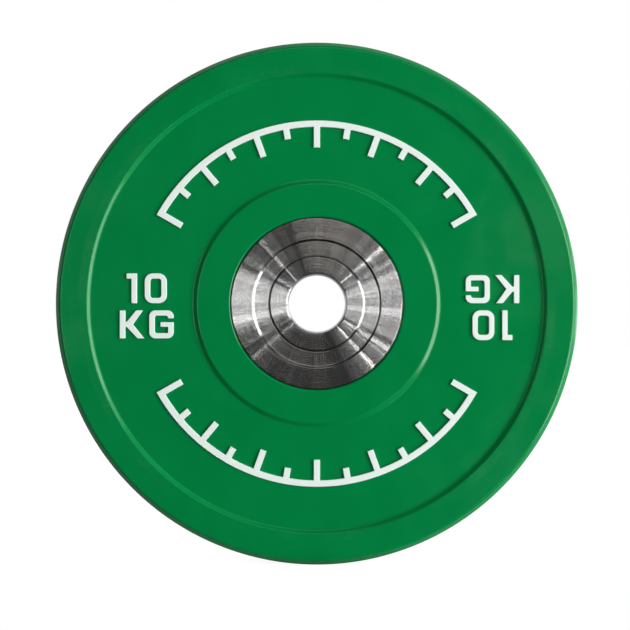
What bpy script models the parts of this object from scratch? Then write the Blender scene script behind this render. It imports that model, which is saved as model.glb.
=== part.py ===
"""A 10 kg competition weight plate, 450 mm across, in metres with +Z up.

The plate stands upright, as it hangs on a bar: the bore runs along Y, the front faces -Y, and the origin is
the centre of the bore at mid thickness. Every piece is modelled lying down with the front up, and the empty
plate_frame stands them up. Heights are therefore distances from mid thickness towards the front.
"""
import math

import bpy

# Whole plate
PLATE_RADIUS = 0.225
PLATE_THICKNESS = 0.035
FIT_GAP = 0.0003

# Rubber body
RIM_WIDTH = 0.0284
RIM_CHAMFER = 0.0055
RIM_WALL_RUN = 0.0028
WEB_DEPTH = 0.0025
BOSS_WIDTH = 0.0288
BOSS_DROP = 0.0003
BOSS_WALL_RUN = 0.0036
MOULDED_EDGE = 0.001

# Steel core that the rubber is moulded round
CORE_OVERLAP = 0.035
CORE_THICKNESS = 0.006
FLOW_HOLE_RADIUS = 0.006
FLOW_HOLE_COUNT = 8
FLOW_HOLE_START = math.radians(22.5)

# Bore bush, and the three rings that the hub shows from the bore outwards
BORE_RADIUS = 0.0253
BORE_CHAMFER = 0.0009
BUSH_WALL = 0.0033
INNER_RING_WIDTH = 0.0151
MIDDLE_RING_WIDTH = 0.0141
OUTER_RING_WIDTH = 0.019
RING_STEP_DEPTH = 0.0016
RING_STEP_RUN = 0.0018
HUB_CHAMFER = 0.0008
FLANGE_THICKNESS = 0.006
PIN_HOLE_RADIUS = 0.002
PIN_HOLE_DEPTH = 0.003
PIN_HOLE_COUNT = 4

# Calibration ring
CALIBRATION_WIDTH = 0.0194
CALIBRATION_THICKNESS = 0.0036

# Hub bolts, M6 with a socket head
BOLT_COUNT = 6
BOLT_RADIUS = 0.003
BOLT_HEAD_RADIUS = 0.005
BOLT_HEAD_HEIGHT = 0.006
BOLT_HEAD_RECESS = 0.0003
BOLT_SOCKET_RADIUS = 0.0028
BOLT_SOCKET_DEPTH = 0.003
BLIND_WALL = 0.004
BOLT_END_GAP = 0.0008

# Raised markings: 10 over KG, in two blocks on each face, which shift outwards from the web's middle
MARKING_RISE = 0.001
FIGURE_HEIGHT = 0.0261
LETTER_HEIGHT = 0.0246
ONE_WIDTH = 0.0093
ZERO_WIDTH = 0.0193
K_WIDTH = 0.0212
G_WIDTH = 0.0212
STROKE = 0.0052
FIGURE_GAP = 0.0062
LETTER_GAP = 0.004
ROW_GAP = 0.0055
K_BRIDGE_REACH = 0.0015
K_NOTCH_DEPTH = 0.0096
K_FOOT_WIDTH = 0.0061
K_TOP_INSET = 0.001
G_TOP_END_DROP = 0.0023
G_MOUTH_HEIGHT = 0.0033
G_BAR_THICKNESS = 0.0044
G_BAR_LENGTH = 0.011
BLOCK_DROP = 0.0027
LEFT_BLOCK_SHIFT = -0.0043
RIGHT_BLOCK_SHIFT = 0.0003
ZERO_ROUND = 0.0069
G_ROUND = 0.0052
INNER_ROUND = 0.002
STROKE_END_ROUND = 0.0005

# Raised scales: an arc line with radial ticks, above and below the hub
SCALE_SHIFT = -0.0048
SCALE_HEIGHT = 0.023
SCALE_STROKE = 0.0053
SCALE_SPAN = math.radians(120)
TICK_COUNT = 13
SHORT_TICK_HEIGHT = 0.0138

# Smoothness
TURN_STEPS = 60
BORE_STEPS = 16
HEX_SIDES = 6
ARC_STEP = math.radians(3)
CORNER_CHORD = 0.0012
EDGE_STEPS = 1
SHARP_ANGLE = math.radians(25)
MERGE_DISTANCE = 0.00001
CUT_MARGIN = 0.002

# Heights and radii that follow from the sizes above
HALF_THICKNESS = PLATE_THICKNESS / 2
WEB_HEIGHT = HALF_THICKNESS - WEB_DEPTH
BOSS_HEIGHT = HALF_THICKNESS - BOSS_DROP
CORE_HEIGHT = CORE_THICKNESS / 2
HUB_BACK_HEIGHT = CORE_HEIGHT + FIT_GAP
MIDDLE_RING_HEIGHT = HALF_THICKNESS - RING_STEP_DEPTH
FLANGE_BACK_HEIGHT = HALF_THICKNESS - FLANGE_THICKNESS

BUSH_RADIUS = BORE_RADIUS + BUSH_WALL
SLEEVE_HOLE_RADIUS = BUSH_RADIUS + FIT_GAP
INNER_RING_RADIUS = BORE_RADIUS + INNER_RING_WIDTH
FLANGE_RADIUS = INNER_RING_RADIUS + RING_STEP_RUN / 2
FLANGE_POCKET_RADIUS = FLANGE_RADIUS + FIT_GAP
MIDDLE_RING_RADIUS = INNER_RING_RADIUS + MIDDLE_RING_WIDTH
HUB_RADIUS = MIDDLE_RING_RADIUS + OUTER_RING_WIDTH
HUB_POCKET_RADIUS = HUB_RADIUS + FIT_GAP
BOSS_RADIUS = HUB_RADIUS + BOSS_WIDTH
RIM_INNER_RADIUS = PLATE_RADIUS - RIM_WIDTH
WEB_INNER_RADIUS = BOSS_RADIUS + BOSS_WALL_RUN
WEB_OUTER_RADIUS = RIM_INNER_RADIUS - RIM_WALL_RUN
WEB_MIDDLE_RADIUS = (WEB_INNER_RADIUS + WEB_OUTER_RADIUS) / 2
CORE_RADIUS = HUB_RADIUS + CORE_OVERLAP
FLOW_CIRCLE_RADIUS = HUB_RADIUS + CORE_OVERLAP / 2
BOLT_CIRCLE_RADIUS = MIDDLE_RING_RADIUS + OUTER_RING_WIDTH / 2
PIN_CIRCLE_RADIUS = (BUSH_RADIUS + INNER_RING_RADIUS) / 2
BOLT_HEAD_TOP = -(HALF_THICKNESS - BOLT_HEAD_RECESS)
BOLT_HEAD_UNDERSIDE = BOLT_HEAD_TOP + BOLT_HEAD_HEIGHT
BOLT_SEAT_HEIGHT = BOLT_HEAD_UNDERSIDE + FIT_GAP
BLIND_END_HEIGHT = HALF_THICKNESS - BLIND_WALL
CALIBRATION_RADIUS = (SLEEVE_HOLE_RADIUS + BOLT_CIRCLE_RADIUS - BOLT_RADIUS) / 2
LEFT_BLOCK_REACH = WEB_MIDDLE_RADIUS + LEFT_BLOCK_SHIFT
RIGHT_BLOCK_REACH = WEB_MIDDLE_RADIUS + RIGHT_BLOCK_SHIFT
SCALE_OUTER_RADIUS = WEB_MIDDLE_RADIUS + SCALE_SHIFT + SCALE_HEIGHT / 2

LYING_TO_UPRIGHT = (math.radians(90), 0, 0)
FRONT_TO_REAR = (0, math.radians(180), 0)


def clear_scene():
    """Remove every object that the scene holds at the start."""
    for obj in list(bpy.data.objects):
        bpy.data.objects.remove(obj)


def new_collection(name, parent):
    """An empty collection inside another."""
    collection = bpy.data.collections.new(name)
    parent.children.link(collection)
    return collection


def new_empty(name, rotation, parent=None):
    """An empty that turns what is parented to it."""
    empty = bpy.data.objects.new(name, None)
    empty.rotation_euler = rotation
    empty.parent = parent
    plate.objects.link(empty)
    return empty


def new_material(name, colour, roughness, metallic=0.0):
    """A plain finish with the piece's own colour, roughness and metallic value."""
    material = bpy.data.materials.new(name)
    material.use_nodes = True
    shader = material.node_tree.nodes["Principled BSDF"]
    shader.inputs["Base Color"].default_value = (*colour, 1)
    shader.inputs["Roughness"].default_value = roughness
    shader.inputs["Metallic"].default_value = metallic
    material.diffuse_color = (*colour, 1)
    return material


def place(obj, collection, parent, material):
    """Link an object to its collection, parent and material."""
    collection.objects.link(obj)
    obj.parent = parent
    if material:
        obj.data.materials.append(material)
    else:
        obj.hide_render = True
        obj.display_type = "WIRE"
    return obj


def turned(name, profile, collection, material=None, steps=TURN_STEPS):
    """A profile of (radius, height) turned about the bore's axis. It runs down its outer side."""
    mesh = bpy.data.meshes.new(name)
    count = len(profile)
    meets_axis = profile[0][0] == 0
    edges = [(i, (i + 1) % count) for i in range(count - meets_axis)]
    mesh.from_pydata([(radius, 0, height) for radius, height in profile], edges, [])
    obj = place(bpy.data.objects.new(name, mesh), collection, plate_frame, material)
    screw = obj.modifiers.new("turn", "SCREW")
    screw.steps = steps
    screw.render_steps = steps
    screw.use_merge_vertices = True
    screw.merge_threshold = MERGE_DISTANCE
    return obj


def both_faces(front):
    """A ring's whole profile from its front half, which runs from the inside outwards."""
    return front + [(radius, -height) for radius, height in reversed(front)]


def round_edges(obj, width):
    """Round the edges of a turned piece, and leave its facets as they are."""
    bevel = obj.modifiers.new("moulded_edges", "BEVEL")
    bevel.width = width
    bevel.segments = EDGE_STEPS
    bevel.limit_method = "ANGLE"
    bevel.angle_limit = SHARP_ANGLE


def cut(obj, cutters):
    """Take a cutter, or every cutter of a collection, out of a piece."""
    boolean = obj.modifiers.new(f"cut_{cutters.name}", "BOOLEAN")
    boolean.operation = "DIFFERENCE"
    if isinstance(cutters, bpy.types.Collection):
        boolean.operand_type = "COLLECTION"
        boolean.collection = cutters
    else:
        boolean.object = cutters


def on_circle(obj, radius, angle):
    """Move a piece or cutter that was turned at the bore out to its place on a circle."""
    obj.location = (radius * math.cos(angle), radius * math.sin(angle), 0)
    obj.rotation_euler = (0, 0, angle)


def around(count, start=0.0):
    """Evenly spaced angles."""
    return [start + math.tau * i / count for i in range(count)]


def bolt_profile(gap, end, seat, head_top):
    """A bolt with its head to the rear, or, with a gap, the stepped bore that takes it."""
    return [
        (0, end),
        (BOLT_RADIUS + gap, end),
        (BOLT_RADIUS + gap, seat),
        (BOLT_HEAD_RADIUS + gap, seat),
        (BOLT_HEAD_RADIUS + gap, head_top),
        (0, head_top),
    ]


def make_round_cutters(name, count, radius, profile, start=0.0, steps=BORE_STEPS):
    """A collection of equal cutters on a circle."""
    collection = new_collection(name, cutter_collection)
    for number, angle in enumerate(around(count, start), 1):
        cutter = turned(f"{name}_{number}", profile, collection, steps=steps)
        on_circle(cutter, radius, angle)
    return collection


def pillar(radius, low, high):
    """The profile of a plain round pillar."""
    return [(0, high), (radius, high), (radius, low), (0, low)]


def core_profile(gap):
    """The core disc, or, with a gap, the space that it takes in the rubber."""
    outer = CORE_RADIUS + gap
    height = CORE_HEIGHT + gap
    return both_faces([(SLEEVE_HOLE_RADIUS, height), (outer, height)])


def make_rubber_body():
    """The moulded body: rim, web and boss on each face, open to the hub, with pegs in the core's holes."""
    body = turned(
        "rubber_body",
        both_faces([
            (HUB_POCKET_RADIUS, BOSS_HEIGHT),
            (BOSS_RADIUS, BOSS_HEIGHT),
            (WEB_INNER_RADIUS, WEB_HEIGHT),
            (WEB_OUTER_RADIUS, WEB_HEIGHT),
            (RIM_INNER_RADIUS, HALF_THICKNESS),
            (PLATE_RADIUS - RIM_CHAMFER, HALF_THICKNESS),
            (PLATE_RADIUS, HALF_THICKNESS - RIM_CHAMFER),
        ]),
        plate,
        new_material("green_rubber", (0.0009, 0.184, 0.047), 0.5),
    )
    round_edges(body, MOULDED_EDGE)
    pegs = make_round_cutters(
        "flow_pegs",
        FLOW_HOLE_COUNT,
        FLOW_CIRCLE_RADIUS,
        pillar(FLOW_HOLE_RADIUS - FIT_GAP, -CORE_THICKNESS, CORE_THICKNESS),
        FLOW_HOLE_START,
    )
    core_space = turned("core_space", core_profile(FIT_GAP), cutter_collection)
    cut(core_space, pegs)
    cut(body, core_space)


def make_core_disc(bolt_bores):
    """The steel plate inside the rubber, with holes that the rubber flows through."""
    core = turned(
        "core_disc",
        core_profile(0),
        plate,
        new_material("core_steel", (0.12, 0.12, 0.13), 0.6, 1.0),
    )
    flow_holes = make_round_cutters(
        "flow_holes",
        FLOW_HOLE_COUNT,
        FLOW_CIRCLE_RADIUS,
        pillar(FLOW_HOLE_RADIUS, -CORE_THICKNESS, CORE_THICKNESS),
        FLOW_HOLE_START,
    )
    cut(core, flow_holes)
    cut(core, bolt_bores)


def hub_disc_front_half():
    """A hub disc's profile, down its outer side and back up to the outer ring's face."""
    return [
        (MIDDLE_RING_RADIUS + RING_STEP_RUN / 2, HALF_THICKNESS),
        (HUB_RADIUS - HUB_CHAMFER, HALF_THICKNESS),
        (HUB_RADIUS, HALF_THICKNESS - HUB_CHAMFER),
        (HUB_RADIUS, HUB_BACK_HEIGHT),
        (SLEEVE_HOLE_RADIUS, HUB_BACK_HEIGHT),
        (SLEEVE_HOLE_RADIUS, FLANGE_BACK_HEIGHT - FIT_GAP),
        (FLANGE_POCKET_RADIUS, FLANGE_BACK_HEIGHT - FIT_GAP),
        (FLANGE_POCKET_RADIUS, MIDDLE_RING_HEIGHT),
        (MIDDLE_RING_RADIUS - RING_STEP_RUN / 2, MIDDLE_RING_HEIGHT),
    ]


def to_rear(profile):
    """The same turned profile on the rear face, still running down its outer side."""
    return [(radius, -height) for radius, height in reversed(profile)]


def band(radius, half_width, top, bottom):
    """The profile of a plain flat ring."""
    inner = radius - half_width
    outer = radius + half_width
    return [(inner, top), (outer, top), (outer, bottom), (inner, bottom)]


def make_hub_discs(bolt_bores, material):
    """The two turned discs that clamp the core, the rear one with a groove for the calibration ring."""
    front = turned("hub_disc_front", hub_disc_front_half(), plate, material)
    cut(front, bolt_bores)
    rear = turned("hub_disc_rear", to_rear(hub_disc_front_half()), plate, material)
    cut(rear, bolt_bores)
    half_width = CALIBRATION_WIDTH / 2 + FIT_GAP
    top = -HUB_BACK_HEIGHT + CUT_MARGIN
    bottom = -HUB_BACK_HEIGHT - CALIBRATION_THICKNESS - FIT_GAP
    profile = band(CALIBRATION_RADIUS, half_width, top, bottom)
    cut(rear, turned("calibration_groove", profile, cutter_collection))


def make_calibration_ring():
    """The flat ring in the rear disc's groove that brings the plate to its mass."""
    top = -HUB_BACK_HEIGHT
    profile = band(CALIBRATION_RADIUS, CALIBRATION_WIDTH / 2, top, top - CALIBRATION_THICKNESS)
    turned("calibration_ring", profile, plate, new_material("calibration_steel", (0.3, 0.3, 0.31), 0.5, 1.0))


def make_bore_bush(material):
    """The bush that slides on the bar's sleeve. Its flange is the hub's raised inner ring on the front."""
    mouth = BORE_RADIUS + BORE_CHAMFER
    turned(
        "bore_bush",
        [
            (mouth, HALF_THICKNESS),
            (INNER_RING_RADIUS - RING_STEP_RUN / 2, HALF_THICKNESS),
            (FLANGE_RADIUS, MIDDLE_RING_HEIGHT),
            (FLANGE_RADIUS, FLANGE_BACK_HEIGHT),
            (BUSH_RADIUS, FLANGE_BACK_HEIGHT),
            (BUSH_RADIUS, -HALF_THICKNESS),
            (mouth, -HALF_THICKNESS),
            (BORE_RADIUS, -HALF_THICKNESS + BORE_CHAMFER),
            (BORE_RADIUS, HALF_THICKNESS - BORE_CHAMFER),
        ],
        plate,
        material,
    )


def make_lock_ring(material):
    """The ring on the bush's rear end, which holds the bush in and looks like its flange."""
    ring = turned(
        "lock_ring",
        to_rear([
            (SLEEVE_HOLE_RADIUS, HALF_THICKNESS),
            (INNER_RING_RADIUS - RING_STEP_RUN / 2, HALF_THICKNESS),
            (FLANGE_RADIUS, MIDDLE_RING_HEIGHT),
            (FLANGE_RADIUS, FLANGE_BACK_HEIGHT),
            (SLEEVE_HOLE_RADIUS, FLANGE_BACK_HEIGHT),
        ]),
        plate,
        material,
    )
    pin_holes = make_round_cutters(
        "pin_holes",
        PIN_HOLE_COUNT,
        PIN_CIRCLE_RADIUS,
        pillar(PIN_HOLE_RADIUS, -HALF_THICKNESS - CUT_MARGIN, -HALF_THICKNESS + PIN_HOLE_DEPTH),
    )
    cut(ring, pin_holes)


def make_hub_bolts():
    """The bolts that draw the two hub discs together, entered from the rear."""
    material = new_material("bolt_steel", (0.09, 0.09, 0.095), 0.4, 1.0)
    profile = bolt_profile(0, BLIND_END_HEIGHT - BOLT_END_GAP, BOLT_HEAD_UNDERSIDE, BOLT_HEAD_TOP)
    sockets = make_round_cutters(
        "bolt_sockets",
        BOLT_COUNT,
        BOLT_CIRCLE_RADIUS,
        pillar(BOLT_SOCKET_RADIUS, BOLT_HEAD_TOP - CUT_MARGIN, BOLT_HEAD_TOP + BOLT_SOCKET_DEPTH),
        steps=HEX_SIDES,
    )
    for number, angle in enumerate(around(BOLT_COUNT), 1):
        bolt = turned(f"hub_bolt_{number}", profile, plate, material, BORE_STEPS)
        on_circle(bolt, BOLT_CIRCLE_RADIUS, angle)
        cut(bolt, sockets.objects[number - 1])


def rounded(corners):
    """A closed outline from its corners (x, y, radius), with an arc at each corner that has a radius."""
    outline = []
    for i, (x, y, radius) in enumerate(corners):
        before = corners[i - 1]
        after = corners[(i + 1) % len(corners)]
        if radius == 0:
            outline.append((x, y))
            continue
        arrive = math.atan2(y - before[1], x - before[0])
        leave = math.atan2(after[1] - y, after[0] - x)
        turn = math.remainder(leave - arrive, math.tau)
        side = math.copysign(1, turn)
        reach = radius * math.tan(abs(turn) / 2)
        centre_x = x - reach * math.cos(arrive) - side * radius * math.sin(arrive)
        centre_y = y - reach * math.sin(arrive) + side * radius * math.cos(arrive)
        steps = max(1, round(radius * abs(turn) / CORNER_CHORD))
        for step in range(steps + 1):
            heading = arrive + turn * step / steps
            outline.append((
                centre_x + side * radius * math.sin(heading),
                centre_y - side * radius * math.cos(heading),
            ))
    return outline


def box_corners(left, low, right, high, radius):
    """The corners of a rounded box."""
    return [(left, low, radius), (right, low, radius), (right, high, radius), (left, high, radius)]


def figure_one():
    """A stem with a short flag."""
    end = STROKE_END_ROUND
    stem = ONE_WIDTH - STROKE
    under_flag = FIGURE_HEIGHT - STROKE
    return [rounded([
        (stem, 0, end),
        (ONE_WIDTH, 0, end),
        (ONE_WIDTH, FIGURE_HEIGHT, end),
        (0, FIGURE_HEIGHT, end),
        (0, under_flag, end),
        (stem, under_flag, end),
    ])]


def figure_zero():
    """A rounded frame, taller than it is wide."""
    outer = box_corners(0, 0, ZERO_WIDTH, FIGURE_HEIGHT, ZERO_ROUND)
    inner = box_corners(STROKE, STROKE, ZERO_WIDTH - STROKE, FIGURE_HEIGHT - STROKE, INNER_ROUND)
    return [rounded(outer), rounded(inner)]


def letter_k():
    """A stem, a short bridge and two arms that meet at it."""
    end = STROKE_END_ROUND
    middle = LETTER_HEIGHT / 2
    bridge_low = middle - STROKE / 2
    bridge_high = middle + STROKE / 2
    bridge_end = STROKE + K_BRIDGE_REACH
    top_right = K_WIDTH - K_TOP_INSET
    return [rounded([
        (0, 0, end),
        (STROKE, 0, end),
        (STROKE, bridge_low, end),
        (bridge_end, bridge_low, end),
        (K_WIDTH - K_FOOT_WIDTH, 0, end),
        (K_WIDTH, 0, 0),
        (K_WIDTH - K_NOTCH_DEPTH, middle, end),
        (top_right, LETTER_HEIGHT, 0),
        (top_right - K_FOOT_WIDTH, LETTER_HEIGHT, end),
        (bridge_end, bridge_high, end),
        (STROKE, bridge_high, end),
        (STROKE, LETTER_HEIGHT, end),
        (0, LETTER_HEIGHT, end),
    ])]


def letter_g():
    """A rounded frame, open at the upper right, with a bar that points into it."""
    end = STROKE_END_ROUND
    inner_right = G_WIDTH - STROKE
    inner_top = LETTER_HEIGHT - STROKE
    mouth_high = inner_top - G_TOP_END_DROP
    bar_high = mouth_high - G_MOUTH_HEIGHT
    bar_low = bar_high - G_BAR_THICKNESS
    bar_left = G_WIDTH - G_BAR_LENGTH
    return [rounded([
        (0, 0, G_ROUND),
        (G_WIDTH, 0, G_ROUND),
        (G_WIDTH, bar_high, end),
        (bar_left, bar_high, end),
        (bar_left, bar_low, end),
        (inner_right, bar_low, end),
        (inner_right, STROKE, end),
        (STROKE, STROKE, INNER_ROUND),
        (STROKE, inner_top, INNER_ROUND),
        (inner_right, inner_top, INNER_ROUND),
        (inner_right, mouth_high, end),
        (G_WIDTH, mouth_high, end),
        (G_WIDTH, LETTER_HEIGHT, G_ROUND),
        (0, LETTER_HEIGHT, G_ROUND),
    ])]


def raised_piece(name, outlines, face, material, location=(0, 0), turn=0.0):
    """A flat white piece that stands on the web of one face. A second outline is a hole in the first."""
    curve = bpy.data.curves.new(name, "CURVE")
    curve.dimensions = "2D"
    curve.fill_mode = "BOTH"
    curve.extrude = MARKING_RISE / 2
    for outline in outlines:
        spline = curve.splines.new("POLY")
        spline.points.add(len(outline) - 1)
        for point, (x, y) in zip(spline.points, outline):
            point.co = (x, y, 0, 1)
        spline.use_cyclic_u = True
    piece = place(bpy.data.objects.new(name, curve), plate, face, material)
    piece.location = (*location, WEB_HEIGHT + FIT_GAP + MARKING_RISE / 2)
    piece.rotation_euler = (0, 0, turn)


def make_marking_block(face_name, side, reach, turn, face, material):
    """10 over KG, with the block's middle out at the given reach, upright or turned by half a turn."""
    row_shift = (FIGURE_HEIGHT + ROW_GAP) / 2
    letter_shift = (LETTER_HEIGHT + ROW_GAP) / 2
    figures_left = -(ONE_WIDTH + FIGURE_GAP + ZERO_WIDTH) / 2
    letters_left = -(K_WIDTH + LETTER_GAP + G_WIDTH) / 2
    characters = [
        ("1", figure_one(), figures_left, row_shift - FIGURE_HEIGHT / 2),
        ("0", figure_zero(), figures_left + ONE_WIDTH + FIGURE_GAP, row_shift - FIGURE_HEIGHT / 2),
        ("k", letter_k(), letters_left, -letter_shift - LETTER_HEIGHT / 2),
        ("g", letter_g(), letters_left + K_WIDTH + LETTER_GAP, -letter_shift - LETTER_HEIGHT / 2),
    ]
    for character, outlines, left, low in characters:
        x = reach + left * math.cos(turn) - low * math.sin(turn)
        y = -BLOCK_DROP + left * math.sin(turn) + low * math.cos(turn)
        raised_piece(f"marking_{face_name}_{side}_{character}", outlines, face, material, (x, y), turn)


def arc(radius, start, end):
    """Points along an arc, both ends included."""
    steps = max(1, round(abs(end - start) / ARC_STEP))
    angles = [start + (end - start) * i / steps for i in range(steps + 1)]
    return [(radius * math.cos(angle), radius * math.sin(angle)) for angle in angles]


def across(radius, angle, offset):
    """The point at a radius on a line that runs beside a radial one."""
    along = math.sqrt(radius * radius - offset * offset)
    return (
        along * math.cos(angle) - offset * math.sin(angle),
        along * math.sin(angle) + offset * math.cos(angle),
    )


def scale_outline(middle):
    """An arc line with long and short ticks on its inner side, centred on an angle."""
    inner = SCALE_OUTER_RADIUS - SCALE_STROKE
    half = SCALE_STROKE / 2
    edge = half / inner
    start = middle - SCALE_SPAN / 2
    end = middle + SCALE_SPAN / 2
    outline = arc(SCALE_OUTER_RADIUS, start - edge, end + edge)
    last = None
    for number in reversed(range(TICK_COUNT)):
        angle = start + SCALE_SPAN * number / (TICK_COUNT - 1)
        tip = SCALE_OUTER_RADIUS - (SHORT_TICK_HEIGHT if number % 2 else SCALE_HEIGHT)
        if last is not None:
            outline += arc(inner, last - edge, angle + edge)[1:-1]
        outline += [across(inner, angle, half), across(tip, angle, half)]
        outline += [across(tip, angle, -half), across(inner, angle, -half)]
        last = angle
    return outline


def make_markings():
    """The white raised pieces of both faces."""
    material = new_material("white_rubber", (0.81, 0.81, 0.81), 0.5)
    faces = {
        "front": new_empty("front_face", (0, 0, 0), plate_frame),
        "rear": new_empty("rear_face", FRONT_TO_REAR, plate_frame),
    }
    for name, face in faces.items():
        make_marking_block(name, "left", -LEFT_BLOCK_REACH, 0, face, material)
        make_marking_block(name, "right", RIGHT_BLOCK_REACH, math.pi, face, material)
        raised_piece(f"scale_{name}_top", [scale_outline(math.radians(90))], face, material)
        raised_piece(f"scale_{name}_bottom", [scale_outline(math.radians(270))], face, material)


def apply_modifiers():
    """Turn each turned piece into a plain mesh, smooth round its axis and sharp at its steps."""
    graph = bpy.context.evaluated_depsgraph_get()
    pieces = [obj for obj in plate.objects if obj.type == "MESH"]
    meshes = [bpy.data.meshes.new_from_object(obj.evaluated_get(graph)) for obj in pieces]
    for obj, mesh in zip(pieces, meshes):
        obj.modifiers.clear()
        obj.data = mesh
        mesh.shade_smooth()
        mesh.set_sharp_from_angle(angle=SHARP_ANGLE)


clear_scene()
plate = new_collection("weight_plate", bpy.context.scene.collection)
cutter_collection = new_collection("cutters", bpy.context.scene.collection)
plate_frame = new_empty("plate_frame", LYING_TO_UPRIGHT)

bolt_bores = make_round_cutters(
    "bolt_bores",
    BOLT_COUNT,
    BOLT_CIRCLE_RADIUS,
    bolt_profile(FIT_GAP, BLIND_END_HEIGHT, BOLT_SEAT_HEIGHT, -HALF_THICKNESS - CUT_MARGIN),
)
turned_steel = new_material("turned_steel", (0.55, 0.54, 0.53), 0.3, 1.0)
make_rubber_body()
make_core_disc(bolt_bores)
make_hub_discs(bolt_bores, turned_steel)
make_calibration_ring()
make_bore_bush(turned_steel)
make_lock_ring(turned_steel)
make_hub_bolts()
make_markings()
apply_modifiers()
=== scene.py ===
"""A green rubber plate with a turned steel hub, dressed and lit as a studio picture.

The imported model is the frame. The bore runs along Y, the front faces -Y and +Z is up. Lengths are metres.
Turned pieces are drawn as a profile of radius and height, where height is the distance from mid thickness
towards the front, and spun round the bore. Raised pieces are traced flat and pushed up from the web.
"""
import logging
import math
from dataclasses import dataclass
from enum import Enum
from functools import cache
from typing import Callable, Iterable, Sequence

import bmesh
import bpy
from mathutils import Matrix, Vector


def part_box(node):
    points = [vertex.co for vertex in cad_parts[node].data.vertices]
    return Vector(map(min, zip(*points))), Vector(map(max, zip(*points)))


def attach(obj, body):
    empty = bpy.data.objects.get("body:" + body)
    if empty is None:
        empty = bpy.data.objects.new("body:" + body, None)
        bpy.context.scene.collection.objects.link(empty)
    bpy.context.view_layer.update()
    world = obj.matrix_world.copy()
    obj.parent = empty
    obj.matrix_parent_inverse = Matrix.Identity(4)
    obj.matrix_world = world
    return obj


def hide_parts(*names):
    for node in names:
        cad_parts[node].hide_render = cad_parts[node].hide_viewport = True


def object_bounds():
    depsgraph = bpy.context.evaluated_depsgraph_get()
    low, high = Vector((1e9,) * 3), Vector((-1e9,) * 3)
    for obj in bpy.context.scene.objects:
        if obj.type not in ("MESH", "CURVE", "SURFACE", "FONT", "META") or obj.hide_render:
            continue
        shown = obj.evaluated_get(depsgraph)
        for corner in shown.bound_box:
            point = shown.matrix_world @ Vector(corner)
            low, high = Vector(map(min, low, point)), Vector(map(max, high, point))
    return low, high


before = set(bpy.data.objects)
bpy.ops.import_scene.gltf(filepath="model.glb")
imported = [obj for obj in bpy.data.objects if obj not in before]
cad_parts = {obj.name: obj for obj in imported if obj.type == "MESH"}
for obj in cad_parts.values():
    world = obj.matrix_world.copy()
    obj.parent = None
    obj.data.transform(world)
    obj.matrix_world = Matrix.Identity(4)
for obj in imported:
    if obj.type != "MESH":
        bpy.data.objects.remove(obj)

LOG = logging.getLogger("plate")
CAD_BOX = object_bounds()
BODY = "root"
FULL_TURN = math.tau
TO_REAR = Matrix.Rotation(FULL_TURN / 2, 4, "Z")
SMOOTH_ANGLE = math.radians(28)
HEXAGON = 6
# Places closer than WELD are one point, and a cutter reaches CUTTER_REACH past the face that it cuts.
WELD = 0.000001
CUTTER_REACH = 0.001
# Size of the plane that is merged into an outline's first point.
SEED_SIZE = 0.01
# A face is a side where its normal leans less than this towards the front.
SIDE_LEAN = 0.5
# Faces in a character's broad rounding, in a turned profile's, and in a fine one.
BROAD_SEGMENTS = 8
CORNER_SEGMENTS = 4
EDGE_SEGMENTS = 3

Piece = bpy.types.Object
Socket = bpy.types.NodeSocket


class Slot(Enum):
    """The record's material slots."""

    GREEN_RUBBER = "green_rubber"
    WHITE_RUBBER = "white_rubber"
    TURNED_STEEL = "turned_steel"
    CORE_STEEL = "core_steel"
    CALIBRATION_STEEL = "calibration_steel"
    BOLT_STEEL = "bolt_steel"


class Face(Enum):
    """The plate's two faces, as the pieces' names say them."""

    FRONT = "front"
    REAR = "rear"


@dataclass(frozen=True)
class Corner:
    """A corner of a turned profile.

    Attributes:
        radius: Distance from the axis that the profile is turned about.
        height: Distance from mid thickness towards the front.
        fillet: Length that the rounding takes off each side of the corner, or 0 for a sharp one.
    """

    radius: float
    height: float
    fillet: float = 0.0

    def mirrored(self) -> "Corner":
        """The same corner on the rear face."""
        return Corner(self.radius, -self.height, self.fillet)

    def point(self, axis_x: float) -> Vector:
        """The corner's place in the XY plane, for a profile turned about the line x = axis_x."""
        return Vector((axis_x + self.radius, -self.height, 0))


@dataclass(frozen=True)
class Bend:
    """A corner of a traced outline, in the outline's own right and up directions.

    Attributes:
        right: Distance from the outline's left side.
        up: Distance from its lower side.
        fillet: Length that the rounding takes off each side of the corner, or 0 for a sharp one.
    """

    right: float
    up: float
    fillet: float = 0.0


Outline = Callable[[float, float], list[Bend]]


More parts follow.
